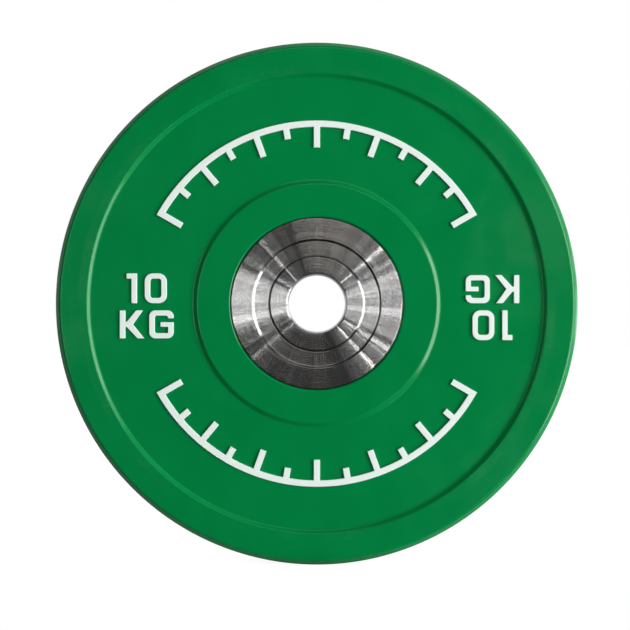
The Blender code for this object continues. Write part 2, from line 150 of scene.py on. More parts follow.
class Bench:
    """The modelling steps that the pieces share, each as it is done by hand."""

    @staticmethod
    def clear() -> None:
        """Leave edit mode with nothing selected."""
        if bpy.context.object and bpy.context.object.mode != "OBJECT":
            bpy.ops.object.mode_set(mode="OBJECT")
        bpy.ops.object.select_all(action="DESELECT")

    @staticmethod
    def take(piece: Piece) -> None:
        """Select one object alone and make it the active one."""
        Bench.clear()
        piece.select_set(True)
        bpy.context.view_layer.objects.active = piece

    @staticmethod
    def start_point(name: str, at: Vector) -> Piece:
        """Add a plane and merge it into the one point that an outline grows from.

        Args:
            name: The new object's name.
            at: Where the point lies.

        Returns:
            The new object, in edit mode, with its point selected.
        """
        Bench.clear()
        bpy.ops.mesh.primitive_plane_add(size=SEED_SIZE)
        piece = bpy.context.active_object
        piece.name = name
        piece.data.name = name
        bpy.ops.object.mode_set(mode="EDIT")
        bpy.ops.mesh.select_mode(type="VERT")
        bpy.ops.mesh.select_all(action="SELECT")
        bpy.ops.mesh.merge(type="CENTER")
        bpy.ops.transform.translate(value=at)
        return piece

    @staticmethod
    def draw(points: Sequence[Vector]) -> None:
        """Extrude the selected point along a line of places, from the first to the last."""
        for here, there in zip(points, points[1:]):
            bpy.ops.mesh.extrude_vertices_move(TRANSFORM_OT_translate={"value": there - here})

    @staticmethod
    def pick_points(piece: Piece, wanted: Callable[[Vector], bool]) -> None:
        """Select the points of a mesh in edit mode by their place.

        Args:
            piece: The object in edit mode.
            wanted: Says of a point's place whether it is selected.
        """
        bpy.ops.mesh.select_mode(type="VERT")
        bpy.ops.mesh.select_all(action="DESELECT")
        mesh = bmesh.from_edit_mesh(piece.data)
        for point in mesh.verts:
            point.select = wanted(point.co)
        mesh.select_flush_mode()
        bmesh.update_edit_mesh(piece.data)

    @staticmethod
    def pick_edges(piece: Piece, wanted: Callable[[bmesh.types.BMEdge], bool]) -> None:
        """Select the edges of a mesh in edit mode.

        Args:
            piece: The object in edit mode.
            wanted: Says of an edge whether it is selected.
        """
        bpy.ops.mesh.select_mode(type="EDGE")
        bpy.ops.mesh.select_all(action="DESELECT")
        mesh = bmesh.from_edit_mesh(piece.data)
        for edge in [edge for edge in mesh.edges if wanted(edge)]:
            edge.select = True
        bmesh.update_edit_mesh(piece.data)

    @staticmethod
    def close_line(piece: Piece, first: Vector, last: Vector) -> None:
        """Join the two ends of a drawn line with an edge."""
        Bench.pick_points(piece, lambda place: min((place - first).length, (place - last).length) < WELD)
        bpy.ops.mesh.edge_face_add()

    @staticmethod
    def round_point(piece: Piece, at: Vector, fillet: float, segments: int) -> None:
        """Round the corner that lies at one place of a drawn line."""
        Bench.pick_points(piece, lambda place: (place - at).length < WELD)
        bpy.ops.mesh.bevel(offset=fillet, segments=segments, affect="VERTICES")

    @staticmethod
    def tidy(piece: Piece) -> None:
        """Merge what coincides, point the faces outwards, and smooth all but the sharp edges."""
        bpy.ops.mesh.select_all(action="SELECT")
        bpy.ops.mesh.remove_doubles(threshold=WELD)
        bpy.ops.mesh.normals_make_consistent(inside=False)
        Bench.take(piece)
        bpy.ops.object.transform_apply(location=True, rotation=True, scale=True)
        Bench.shade(piece)

    @staticmethod
    def shade(piece: Piece) -> None:
        """Smooth the taken piece but for its sharp edges, and let its broad faces keep their own normals."""
        bpy.ops.object.shade_smooth_by_angle(angle=SMOOTH_ANGLE)
        even = piece.modifiers.new("even", "WEIGHTED_NORMAL")
        even.keep_sharp = True
        bpy.ops.object.modifier_apply(modifier=even.name)

    @staticmethod
    def turn(name: str, corners: Sequence[Corner], steps: int, axis_x: float = 0.0) -> Piece:
        """Draw a closed profile, round its corners and spin it once round.

        Args:
            name: The new object's name.
            corners: The profile's corners in order.
            steps: Faces in one turn.
            axis_x: Where the axis, which runs along Y, crosses the X axis.

        Returns:
            The turned object.
        """
        points = [corner.point(axis_x) for corner in corners]
        piece = Bench.start_point(name, points[0])
        Bench.draw(points)
        Bench.close_line(piece, points[0], points[-1])
        for corner, point in zip(corners, points):
            if corner.fillet:
                Bench.round_point(piece, point, corner.fillet, CORNER_SEGMENTS)
        bpy.ops.mesh.select_all(action="SELECT")
        bpy.ops.mesh.spin(steps=steps, angle=FULL_TURN, center=(axis_x, 0, 0), axis=(0, 1, 0))
        Bench.tidy(piece)
        return piece

    @staticmethod
    def combine(piece: Piece, others: Iterable[Piece], operation: str) -> None:
        """Cut other objects out of a piece or join them to it, and smooth the piece again.

        Args:
            piece: The object that is changed.
            others: The objects that are cut out or joined.
            operation: DIFFERENCE or UNION.
        """
        Bench.take(piece)
        for other in others:
            change = piece.modifiers.new("change", "BOOLEAN")
            change.operation = operation
            change.object = other
            bpy.ops.object.modifier_apply(modifier=change.name)
        Bench.shade(piece)

    @staticmethod
    def copy_round(piece: Piece, name: str, angle: float) -> Piece:
        """Copy a piece, and turn the copy's mesh about the bore, from +X towards +Z."""
        return Bench.copy_turned(piece, name, Matrix.Rotation(-angle, 4, "Y"))

    @staticmethod
    def copy_turned(piece: Piece, name: str, turn: Matrix) -> Piece:
        """Copy a piece, and put a turn about the origin into the copy's mesh."""
        Bench.take(piece)
        bpy.ops.object.duplicate()
        copy = bpy.context.active_object
        copy.name = name
        copy.data.name = name
        copy.matrix_world = turn
        bpy.ops.object.transform_apply(location=True, rotation=True, scale=True)
        return copy

    @staticmethod
    def ring(pattern: Piece, name: str, count: int, offset: float = 0.0) -> list[Piece]:
        """Copy a piece evenly round the bore, and throw the pattern away.

        Args:
            pattern: The piece to copy.
            name: The copies' name, to which their number from 1 is added.
            count: How many copies there are.
            offset: How far they lie past the pattern's place, as a share of the way from one to the next.

        Returns:
            The copies.
        """
        turns = [FULL_TURN * (number + offset) / count for number in range(count)]
        copies = [Bench.copy_round(pattern, f"{name}_{number}", turn) for number, turn in enumerate(turns, 1)]
        Bench.discard([pattern])
        return copies

    @staticmethod
    def discard(pieces: Iterable[Piece]) -> None:
        """Throw away what was only a pattern or a cutter."""
        for piece in pieces:
            bpy.data.objects.remove(piece)

    @staticmethod
    def push_up(piece: Piece, rise: float, edge: float) -> None:
        """Push a flat face forwards into a solid, and round the edges of its front.

        Args:
            piece: The object in edit mode, flat in the XZ plane.
            rise: The solid's thickness.
            edge: Width of the rounding.
        """
        bpy.ops.mesh.select_mode(type="FACE")
        bpy.ops.mesh.select_all(action="SELECT")
        bpy.ops.mesh.extrude_region_move(TRANSFORM_OT_translate={"value": (0, -rise, 0)})
        bpy.ops.mesh.select_all(action="SELECT")
        bpy.ops.mesh.normals_make_consistent(inside=False)
        front = min(vertex.co.y for vertex in bmesh.from_edit_mesh(piece.data).verts)

        def borders_front(candidate: bmesh.types.BMEdge) -> bool:
            """An edge of the front where it meets a side."""
            on_front = all(abs(vertex.co.y - front) < WELD for vertex in candidate.verts)
            sides = [face for face in candidate.link_faces if abs(face.normal.y) < SIDE_LEAN]
            return on_front and len(sides) == 1

        Bench.pick_edges(piece, borders_front)
        bpy.ops.mesh.bevel(offset=edge, segments=EDGE_SEGMENTS, affect="EDGES")
        Bench.tidy(piece)


class Sheet:
    """A node tree under construction, of a material or of a node group."""

    def __init__(self, tree: bpy.types.NodeTree) -> None:
        """Start on a tree."""
        self.tree = tree

    def add(self, kind: str, **settings: object) -> bpy.types.Node:
        """Add a node.

        Args:
            kind: The node's type without its ShaderNode prefix.
            **settings: The node's own settings.

        Returns:
            The new node.
        """
        node = self.tree.nodes.new(f"ShaderNode{kind}")
        for name, value in settings.items():
            setattr(node, name, value)
        return node

    def join(self, source: Socket, target: Socket) -> None:
        """Link an output to an input."""
        self.tree.links.new(source, target)

    def feed(self, target: Socket, value: object) -> None:
        """Give an input a link if the value is a socket, and a constant otherwise."""
        if isinstance(value, Socket):
            self.join(value, target)
        else:
            target.default_value = value

    def fill(self, node: bpy.types.Node, **inputs: object) -> None:
        """Feed a node's inputs.

        Args:
            node: The node.
            **inputs: A socket or a constant for each input, by its name with _ for a space.
        """
        for name, value in inputs.items():
            self.feed(node.inputs[name.replace("_", " ")], value)

    def maths(self, operation: str, *values: object) -> Socket:
        """A sum on sockets or numbers.

        Args:
            operation: The Math node's operation.
            *values: Sockets or numbers, in the order of its inputs.

        Returns:
            The result's socket.
        """
        node = self.add("Math", operation=operation)
        for socket, value in zip(node.inputs, values):
            self.feed(socket, value)
        return node.outputs[0]

    def vector(self, operation: str, *values: object) -> Socket:
        """A sum on vectors, whose result is a number for LENGTH and a vector otherwise.

        Args:
            operation: The Vector Math node's operation.
            *values: Sockets or vectors, in the order of its inputs. The second one of SCALE is its factor.

        Returns:
            The result's socket.
        """
        node = self.add("VectorMath", operation=operation)
        second = node.inputs["Scale"] if operation == "SCALE" else node.inputs[1]
        for socket, value in zip((node.inputs[0], second), values):
            self.feed(socket, value)
        return node.outputs["Value" if operation == "LENGTH" else "Vector"]

    def noise(self, position: Socket, scale: object, detail: float = 2.0, roughness: float = 0.5) -> Socket:
        """Even noise between 0 and 1, with its scale in cells to a metre."""
        node = self.add("TexNoise")
        self.fill(node, Vector=position, Scale=scale, Detail=detail, Roughness=roughness)
        return node.outputs["Fac"]

    def line_noise(self, distance: Socket, scale: object, detail: float) -> Socket:
        """Noise that varies along one distance only."""
        node = self.add("TexNoise", noise_dimensions="1D")
        self.fill(node, W=distance, Scale=scale, Detail=detail)
        return node.outputs["Fac"]

    def span(
        self,
        value: object,
        low: float,
        high: float,
        to_low: float = 0.0,
        to_high: float = 1.0,
        smooth: bool = False,
    ) -> Socket:
        """Stretch a value from one range to another, clamped at both ends.

        Args:
            value: The socket or number.
            low: The value that gives to_low.
            high: The value that gives to_high.
            to_low: The result's low end.
            to_high: The result's high end.
            smooth: Ease in and out instead of a straight ramp.

        Returns:
            The result's socket.
        """
        node = self.add("MapRange", interpolation_type="SMOOTHSTEP" if smooth else "LINEAR")
        self.fill(node, Value=value, From_Min=low, From_Max=high, To_Min=to_low, To_Max=to_high)
        return node.outputs["Result"]

    def blend(self, share: object, first: object, second: object) -> Socket:
        """A colour between two, each a socket or three numbers, by a share from 0 to 1."""
        node = self.add("Mix", data_type="RGBA")
        ends = [colour if isinstance(colour, Socket) else (*colour, 1.0) for colour in (first, second)]
        self.fill(node, Factor=share, A=ends[0], B=ends[1])
        return node.outputs["Result"]

    def bump(self, height: Socket, distance: float, strength: float, under: Socket | None = None) -> Socket:
        """Raise a surface by a height between 0 and 1.

        Args:
            height: The height's socket.
            distance: Its full range.
            strength: How strongly it shows.
            under: The normal of a broader bump that this one lies on, if there is one.

        Returns:
            The normal's socket.
        """
        node = self.add("Bump")
        self.fill(node, Height=height, Distance=distance, Strength=strength)
        if under:
            self.join(under, node.inputs["Normal"])
        return node.outputs["Normal"]

    def place(self) -> Socket:
        """The place on the object."""
        return self.add("TexCoord").outputs["Object"]

    def effect(self, group: bpy.types.NodeTree, position: Socket, **values: float) -> bpy.types.Node:
        """Place a shared effect, with this material's own values."""
        node = self.add("Group", node_tree=group)
        self.fill(node, Position=position, **values)
        return node


class Effects:
    """The effects that several finishes share, each a node group that is built once.

    Attributes:
        MIDDLE: The part of a noise that is stretched to run from 0 to 1.
        RIPPLE_SHARE: Share of the moulded grain's height that is broad ripple.
        BROAD_SHARE: Share of the turning marks' height that is broad rings.
        SLANT: How far the spokes of the chatter and of the painted highlight streaks lean from ring to ring.
        SPOKE_MIDDLE: The part of the spokes' noise that is stretched.
        SPECK_MIDDLE: The part of the wear's specks that is stretched.
        SMEAR_STRETCH: How much finer the smears are along each axis.
        SMEAR_EDGE: Softness of a smear's edge.
    """

    MIDDLE = (0.3, 0.7)
    RIPPLE_SHARE = 0.6
    BROAD_SHARE = 0.35
    SLANT = 0.5
    SPOKE_MIDDLE = (0.34, 0.66)
    SPECK_MIDDLE = (0.35, 0.6)
    SMEAR_STRETCH = (1.0, 1.0, 3.0)
    SMEAR_EDGE = 0.25

    @staticmethod
    def new_group(
        name: str, values: dict[str, float], results: Sequence[str]
    ) -> tuple[Sheet, bpy.types.Node, bpy.types.Node]:
        """Start a node group with a Position input.

        Args:
            name: The group's name.
            values: Its number inputs, with their usual values.
            results: Its number outputs.

        Returns:
            The group's sheet, its input node and its output node.
        """
        tree = bpy.data.node_groups.new(name, "ShaderNodeTree")
        tree.interface.new_socket("Position", in_out="INPUT", socket_type="NodeSocketVector")
        for key, usual in values.items():
            number = tree.interface.new_socket(key, in_out="INPUT", socket_type="NodeSocketFloat")
            number.default_value = usual
        for key in results:
            tree.interface.new_socket(key, in_out="OUTPUT", socket_type="NodeSocketFloat")
        sheet = Sheet(tree)
        return sheet, tree.nodes.new("NodeGroupInput"), tree.nodes.new("NodeGroupOutput")

    @staticmethod
    @cache
    def grain() -> bpy.types.NodeTree:
        """Moulded grain: Height for the bump, and Tone for broad patches from 0 to 1."""
        values = {"Patch": 22.0, "Grain": 1500.0}
        sheet, given, result = Effects.new_group("moulded_grain", values, ("Height", "Tone"))
        position = given.outputs["Position"]
        fine = sheet.noise(position, given.outputs["Grain"])
        broad = sheet.noise(position, given.outputs["Patch"], detail=4.0)
        ripple = sheet.noise(position, scale=90.0, detail=3.0)
        rippled = sheet.maths("MULTIPLY", ripple, Effects.RIPPLE_SHARE)
        height = sheet.maths("MULTIPLY_ADD", fine, 1 - Effects.RIPPLE_SHARE, rippled)
        sheet.fill(result, Height=height, Tone=sheet.span(broad, *Effects.MIDDLE))
        return sheet.tree

    @staticmethod
    @cache
    def lathe() -> bpy.types.NodeTree:
        """Turning marks round the bore.

        Returns:
            A group that gives Height for the bump, Tone for the rings, Spokes for the chatter and for the
            steel's painted highlight streaks, and Radius.
        """
        names = ("Height", "Tone", "Spokes", "Radius")
        sheet, given, result = Effects.new_group("lathe_marks", {"Fine": 4200.0, "Broad": 900.0}, names)
        split = sheet.add("SeparateXYZ")
        sheet.fill(split, Vector=given.outputs["Position"])
        flat = sheet.add("CombineXYZ")
        sheet.fill(flat, X=split.outputs["X"], Y=split.outputs["Z"])
        radius = sheet.vector("LENGTH", flat.outputs["Vector"])
        travel = sheet.maths("ADD", radius, split.outputs["Y"])
        fine = sheet.line_noise(travel, given.outputs["Fine"], detail=1.0)
        broad = sheet.line_noise(travel, given.outputs["Broad"], detail=3.0)
        rings = sheet.maths("MULTIPLY", broad, Effects.BROAD_SHARE)
        height = sheet.maths("MULTIPLY_ADD", fine, 1 - Effects.BROAD_SHARE, rings)
        slant = sheet.add("CombineXYZ")
        sheet.fill(slant, Z=sheet.maths("MULTIPLY", radius, Effects.SLANT))
        round_bore = sheet.vector("NORMALIZE", flat.outputs["Vector"])
        spiral = sheet.vector("ADD", round_bore, slant.outputs["Vector"])
        spokes = sheet.span(sheet.noise(spiral, scale=16.0, detail=3.0, roughness=0.7), *Effects.SPOKE_MIDDLE)
        tone = sheet.span(broad, *Effects.MIDDLE)
        sheet.fill(result, Height=height, Tone=tone, Spokes=spokes, Radius=radius)
        return sheet.tree

    @staticmethod
    @cache
    def wear() -> bpy.types.NodeTree:
        """Marks of handling: a Mask from 0 to 1 in sparse, soft-edged smears."""
        sheet, given, result = Effects.new_group("handling_wear", {"Spread": 0.5}, ("Mask",))
        stretched = sheet.add("Mapping")
        sheet.fill(stretched, Vector=given.outputs["Position"], Scale=Effects.SMEAR_STRETCH)
        smears = sheet.noise(stretched.outputs["Vector"], scale=34.0, detail=5.0, roughness=0.65)
        specks = sheet.noise(given.outputs["Position"], scale=420.0)
        both = sheet.maths("MULTIPLY", smears, sheet.span(specks, *Effects.SPECK_MIDDLE))
        bare = sheet.maths("SUBTRACT", 1.0, given.outputs["Spread"])
        worn = sheet.maths("SUBTRACT", both, bare)
        sheet.fill(result, Mask=sheet.span(worn, 0.0, Effects.SMEAR_EDGE))
        return sheet.tree


@dataclass(frozen=True)
class Finish:
    """What every finish has: a name, the record's slot, and a Principled shader to dress.

    Attributes:
        name: The material's name.
        slot: The record's slot that it stands for. It is not used.
        colour: Its main colour, linear.
        roughness: Its main roughness.
    """

    name: str
    slot: Slot
    colour: tuple[float, float, float]
    roughness: float

    def start(self) -> tuple[bpy.types.Material, Sheet, bpy.types.Node]:
        """A new material with its sheet and its shader."""
        material = bpy.data.materials.new(self.name)
        material.use_nodes = True
        shader = material.node_tree.nodes["Principled BSDF"]
        material.diffuse_color = (*self.colour, 1.0)
        return material, Sheet(material.node_tree), shader


@dataclass(frozen=True)
class MouldedRubber(Finish):
    """Rubber as it leaves the mould: grain, faint patches and a little dust from handling.

    Attributes:
        patch_colour: The colour that the patches lean to.
        dust: The colour of the handling marks.
        dust_spread: How much of the surface they reach, from 0 to 1.
        specular: The shader's specular level.
        bump: Depth of the grain.
        dulling: How much rougher a handling mark is.
        swell: Depth of the broad, shallow unevenness of the moulding.
        patchiness: How much the roughness varies over the patches.
        rubbed: Inner and outer radius of the ring that rubs on the next plate, or None.
        DUST_SHARE: How far a handling mark takes on the dust's colour.
        POLISH: How far the smoothest patch lies under the main roughness.
        TONES: The patches' tones over which the roughness rises.
        RING_INSIDE: Width over which the rubbed ring sets in at its inner radius.
        RING_OUTSIDE: Width over which it fades at its outer one.
        SCUFF_MIDDLE: The part of the scuffs' noise that is stretched.
        SCUFFING: How much rougher a scuff is.
        GRAIN_STRENGTH: How strongly the grain shows.
    """

    patch_colour: tuple[float, float, float]
    dust: tuple[float, float, float]
    dust_spread: float
    specular: float
    bump: float
    dulling: float
    swell: float
    patchiness: float = 0.08
    rubbed: tuple[float, float] | None = None

    DUST_SHARE = 0.25
    POLISH = 0.03
    TONES = (0.25, 1.0)
    RING_INSIDE = 0.001
    RING_OUTSIDE = 0.004
    SCUFF_MIDDLE = (0.38, 0.68)
    SCUFFING = 0.15
    GRAIN_STRENGTH = 0.5

    def build(self) -> bpy.types.Material:
        """The finished material."""
        material, sheet, shader = self.start()
        position = sheet.place()
        grain = sheet.effect(Effects.grain(), position)
        wear = sheet.effect(Effects.wear(), position, Spread=self.dust_spread)
        rubber = sheet.blend(grain.outputs["Tone"], self.colour, self.patch_colour)
        dust_share = sheet.maths("MULTIPLY", wear.outputs["Mask"], self.DUST_SHARE)
        start = self.roughness - self.POLISH
        uneven = sheet.span(grain.outputs["Tone"], *self.TONES, start, start + self.patchiness, smooth=True)
        rough = sheet.maths("MULTIPLY_ADD", wear.outputs["Mask"], self.dulling, uneven)
        if self.rubbed:
            inner, outer = self.rubbed
            radius = sheet.effect(Effects.lathe(), position).outputs["Radius"]
            after_inner = sheet.span(radius, inner - self.RING_INSIDE, inner)
            before_outer = sheet.span(radius, outer - self.RING_OUTSIDE, outer, 1.0, 0.0, smooth=True)
            ring = sheet.maths("MULTIPLY", after_inner, before_outer)
            scuffs = sheet.noise(position, scale=30.0, detail=4.0, roughness=0.6)
            scuffs = sheet.span(scuffs, *self.SCUFF_MIDDLE)
            rough = sheet.maths("MULTIPLY_ADD", sheet.maths("MULTIPLY", ring, scuffs), self.SCUFFING, rough)
        swell = sheet.bump(sheet.noise(position, scale=26.0, detail=1.0), self.swell, strength=1.0)
        sheet.fill(
            shader,
            Base_Color=sheet.blend(dust_share, rubber, self.dust),
            Roughness=rough,
            Specular_IOR_Level=self.specular,
            Normal=sheet.bump(grain.outputs["Height"], self.bump, self.GRAIN_STRENGTH, swell),
        )
        return material


@dataclass(frozen=True)
class Band:
    """A ring of the turned steel that another tool cut, whose colour also carries painted shade.

    Attributes:
        inner: Its inner radius.
        outer: Its outer radius.
        brightness: Painted shade: how bright its colour is, as a share of the rest, low where it is to look
            dark.
        roughness: Its roughness.
    """

    inner: float
    outer: float
    brightness: float
    roughness: float


@dataclass(frozen=True)
class TurnedSteel(Finish):
    """Steel faced on a lathe: rings round the bore, and highlights that fan out across them.

    Attributes:
        warm_colour: The colour that the rings lean to.
        anisotropy: How far the highlights are drawn across the rings.
        bump: Depth of the rings.
        pitch: Width of one groove.
        steepness: Slope of the steepest groove's sides.
        chatter: How far the tool's chatter changes the roughness, from spoke to spoke.
        bands: The rings that differ from the rest in roughness and in painted shade.
        WEAR_SPREAD: How much of the steel the handling marks reach, from 0 to 1.
        SMEARING: How much rougher a handling mark is.
        RING_ROUGHNESS: How far the roughness varies from ring to ring.
        PAINTED_STREAK_BRIGHTNESS: Painted highlight: the colour's level at the dullest and the brightest
            spoke.
        ACROSS_RINGS: The turn, as a share of a full one, that draws the highlights across the rings.
        GRIT_SHARE: How far a groove's side differs from place to place, against the steepness.
        TURN_SHARE: How far it differs from groove to groove.
        OFF_AXIS: What leaves only the part of a place that points away from the bore's line.
    """

    warm_colour: tuple[float, float, float]
    anisotropy: float
    bump: float
    pitch: float
    steepness: float
    chatter: float
    bands: tuple[Band, ...] = ()

    WEAR_SPREAD = 0.42
    SMEARING = 0.05
    RING_ROUGHNESS = 0.02
    PAINTED_STREAK_BRIGHTNESS = (0.88, 1.12)
    ACROSS_RINGS = 0.25
    GRIT_SHARE = 1.4
    TURN_SHARE = 0.6
    OFF_AXIS = (1.0, 0.0, 1.0)

    def build(self) -> bpy.types.Material:
        """The finished material."""
        material, sheet, shader = self.start()
        position = sheet.place()
        marks = sheet.effect(Effects.lathe(), position)
        wear = sheet.effect(Effects.wear(), position, Spread=self.WEAR_SPREAD)
        steel = sheet.blend(marks.outputs["Tone"], self.colour, self.warm_colour)
        finest, coarsest = self.roughness - self.RING_ROUGHNESS, self.roughness + self.RING_ROUGHNESS
        cut = sheet.span(marks.outputs["Tone"], 0.0, 1.0, finest, coarsest)
        # Painted highlight: the colour grows brighter and darker from spoke to spoke, as streaks of light
        # round the bore.
        painted_streaks_and_shade = sheet.span(marks.outputs["Spokes"], 0.0, 1.0, *self.PAINTED_STREAK_BRIGHTNESS)
        # Painted shade: each band's colour is darkened where the bore, the step walls and the outer chamfer
        # are to look dark.
        for band in self.bands:
            after_inner = sheet.maths("GREATER_THAN", marks.outputs["Radius"], band.inner)
            before_outer = sheet.maths("LESS_THAN", marks.outputs["Radius"], band.outer)
            inside = sheet.maths("MULTIPLY", after_inner, before_outer)
            cut = sheet.maths("MULTIPLY_ADD", inside, band.roughness - self.roughness, cut)
            painted_streaks_and_shade = sheet.maths("MULTIPLY_ADD", inside, band.brightness - 1, painted_streaks_and_shade)
        spoke = sheet.maths("SUBTRACT", marks.outputs["Spokes"], 0.5)
        chattered = sheet.maths("MULTIPLY_ADD", spoke, self.chatter, cut)
        smeared = sheet.maths("MULTIPLY_ADD", wear.outputs["Mask"], self.SMEARING, chattered)
        tipped = self.groove(sheet, position, marks.outputs["Radius"])
        # The base colour carries the painted highlight streaks and the bands' painted shade.
        sheet.fill(
            shader,
            Base_Color=sheet.vector("SCALE", steel, painted_streaks_and_shade),
            Roughness=smeared,
            Metallic=1.0,
            Anisotropic=self.anisotropy,
            Anisotropic_Rotation=self.ACROSS_RINGS,
            Tangent=sheet.add("Tangent", direction_type="RADIAL", axis="Y").outputs["Tangent"],
            Normal=sheet.bump(marks.outputs["Height"], self.bump, strength=1.0, under=tipped),
        )
        return material

    def groove(self, sheet: Sheet, position: Socket, radius: Socket) -> Socket:
        """Tip the surface towards and away from the bore, as the sides of fine grooves do.

        Args:
            sheet: The material's sheet.
            position: The place on the object.
            radius: The distance from the bore's middle.

        Returns:
            The tipped normal's socket.
        """
        grit = sheet.add("TexWhiteNoise", noise_dimensions="3D")
        sheet.fill(grit, Vector=position)
        turn = sheet.add("TexWhiteNoise", noise_dimensions="1D")
        sheet.fill(turn, W=sheet.maths("FLOOR", sheet.maths("DIVIDE", radius, self.pitch)))
        level = -(self.GRIT_SHARE + self.TURN_SHARE) / 2
        turned = sheet.maths("MULTIPLY_ADD", turn.outputs["Value"], self.TURN_SHARE, level)
        both = sheet.maths("MULTIPLY_ADD", grit.outputs["Value"], self.GRIT_SHARE, turned)
        tip = sheet.maths("MULTIPLY", both, self.steepness)
        outwards = sheet.vector("NORMALIZE", sheet.vector("MULTIPLY", position, self.OFF_AXIS))
        normal = sheet.add("NewGeometry").outputs["Normal"]
        leaning = sheet.vector("ADD", normal, sheet.vector("SCALE", outwards, tip))
        return sheet.vector("NORMALIZE", leaning)


@dataclass(frozen=True)
class PlainSteel(Finish):
    """Steel that isn't turned bright: scale, oxide or a milled skin, in patches.

    Attributes:
        patch_colour: The colour of the patches.
        patch: Patches to a metre.
        bump: Depth of the skin.
        GRAIN: Grains to a metre.
        GRAIN_STRENGTH: How strongly the grain shows.
        UNEVENNESS: How far the roughness varies over the patches.
    """

    patch_colour: tuple[float, float, float]
    patch: float
    bump: float

    GRAIN = 2600.0
    GRAIN_STRENGTH = 0.5
    UNEVENNESS = 0.06

    def build(self) -> bpy.types.Material:
        """The finished material."""
        material, sheet, shader = self.start()
        position = sheet.place()
        grain = sheet.effect(Effects.grain(), position, Patch=self.patch, Grain=self.GRAIN)
        tone = grain.outputs["Tone"]
        finest, coarsest = self.roughness - self.UNEVENNESS, self.roughness + self.UNEVENNESS
        sheet.fill(
            shader,
            Base_Color=sheet.blend(tone, self.colour, self.patch_colour),
            Roughness=sheet.span(tone, 0.0, 1.0, finest, coarsest),
            Metallic=1.0,
            Normal=sheet.bump(grain.outputs["Height"], self.bump, self.GRAIN_STRENGTH),
        )
        return material


class FinishBook:
    """The finishes of this plate, each built once."""

    GREEN = MouldedRubber(
        name="green_rubber_moulded",
        slot=Slot.GREEN_RUBBER,
        colour=(0.0004, 0.185, 0.0450),
        patch_colour=(0.0006, 0.198, 0.0488),
        dust=(0.012, 0.25, 0.095),
        dust_spread=0.42,
        roughness=0.17,
        patchiness=0.06,
        dulling=0.10,
        specular=0.17,
        bump=0.00012,
        swell=0.0010,
        rubbed=(0.1966, 0.2060),
    )
    WHITE = MouldedRubber(
        name="white_rubber_raised",
        slot=Slot.WHITE_RUBBER,
        colour=(0.755, 0.84, 0.80),
        patch_colour=(0.77, 0.855, 0.815),
        dust=(0.68, 0.75, 0.72),
        dust_spread=0.44,
        roughness=0.50,
        dulling=0.10,
        specular=0.08,
        bump=0.00008,
        swell=0.0001,
    )
    STEEL = TurnedSteel(
        name="turned_steel_hub",
        slot=Slot.TURNED_STEEL,
        colour=(0.72, 0.714, 0.708),
        warm_colour=(0.67, 0.661, 0.652),
        roughness=0.13,
        anisotropy=1.0,
        bump=0.000003,
        pitch=0.00006,
        steepness=0.39,
        chatter=0.03,
        # Painted shade: the bore, both step walls and the outer chamfer are darkened in colour, the middle
        # ring a touch brighter.
        bands=(
            Band(inner=0.0, outer=0.0262, brightness=0.60, roughness=0.24),
            Band(inner=0.0395, outer=0.0412, brightness=0.42, roughness=0.20),
            Band(inner=0.0412, outer=0.0536, brightness=1.02, roughness=0.16),
            Band(inner=0.0536, outer=0.0554, brightness=0.42, roughness=0.20),
            Band(inner=0.0727, outer=0.0740, brightness=0.12, roughness=0.24),
        ),
    )
    CORE = PlainSteel(
        name="core_steel_skin",
        slot=Slot.CORE_STEEL,
        colour=(0.12, 0.12, 0.13),
        patch_colour=(0.20, 0.15, 0.12),
        roughness=0.60,
        patch=60.0,
        bump=0.00008,
    )
    CALIBRATION = PlainSteel(
        name="calibration_steel_plain",
        slot=Slot.CALIBRATION_STEEL,
        colour=(0.30, 0.30, 0.31),
        patch_colour=(0.36, 0.36, 0.36),
        roughness=0.50,
        patch=120.0,
        bump=0.00003,
    )
    BOLT = PlainSteel(
        name="bolt_steel_black",
        slot=Slot.BOLT_STEEL,
        colour=(0.075, 0.075, 0.08),
        patch_colour=(0.11, 0.105, 0.10),
        roughness=0.40,
        patch=260.0,
        bump=0.00002,
    )

    def __init__(self) -> None:
        """Start with no material built."""
        self.built: dict[str, bpy.types.Material] = {}

    def dress(self, piece: Piece, finish: Finish, node: str) -> None:
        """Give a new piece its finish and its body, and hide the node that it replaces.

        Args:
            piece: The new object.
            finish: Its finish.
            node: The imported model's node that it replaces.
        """
        piece.data.materials.clear()
        piece.data.materials.append(self.material(finish))
        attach(piece, BODY)
        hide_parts(node)
        LOG.info("%s: %d faces, for %s", piece.name, len(piece.data.polygons), node)

    def dress_both_faces(self, piece: Piece, finish: Finish, node: str) -> None:
        """Copy a piece from the front to the rear, and dress both.

        Args:
            piece: The piece on the front.
            finish: The finish of both.
            node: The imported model's node on the front. The rear's name differs from it by the face alone.
        """
        faces = (Face.FRONT.value, Face.REAR.value)
        rear = Bench.copy_turned(piece, piece.name.replace(*faces), TO_REAR)
        self.dress(piece, finish, node)
        self.dress(rear, finish, node.replace(*faces))

    def repaint(self, node: str, finish: Finish) -> None:
        """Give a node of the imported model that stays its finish."""
        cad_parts[node].material_slots[0].material = self.material(finish)
        LOG.info("%s: keeps its shape", node)

    def material(self, finish: Finish) -> bpy.types.Material:
        """The finish's material, built at its first use."""
        if finish.name not in self.built:
            self.built[finish.name] = finish.build()
        return self.built[finish.name]


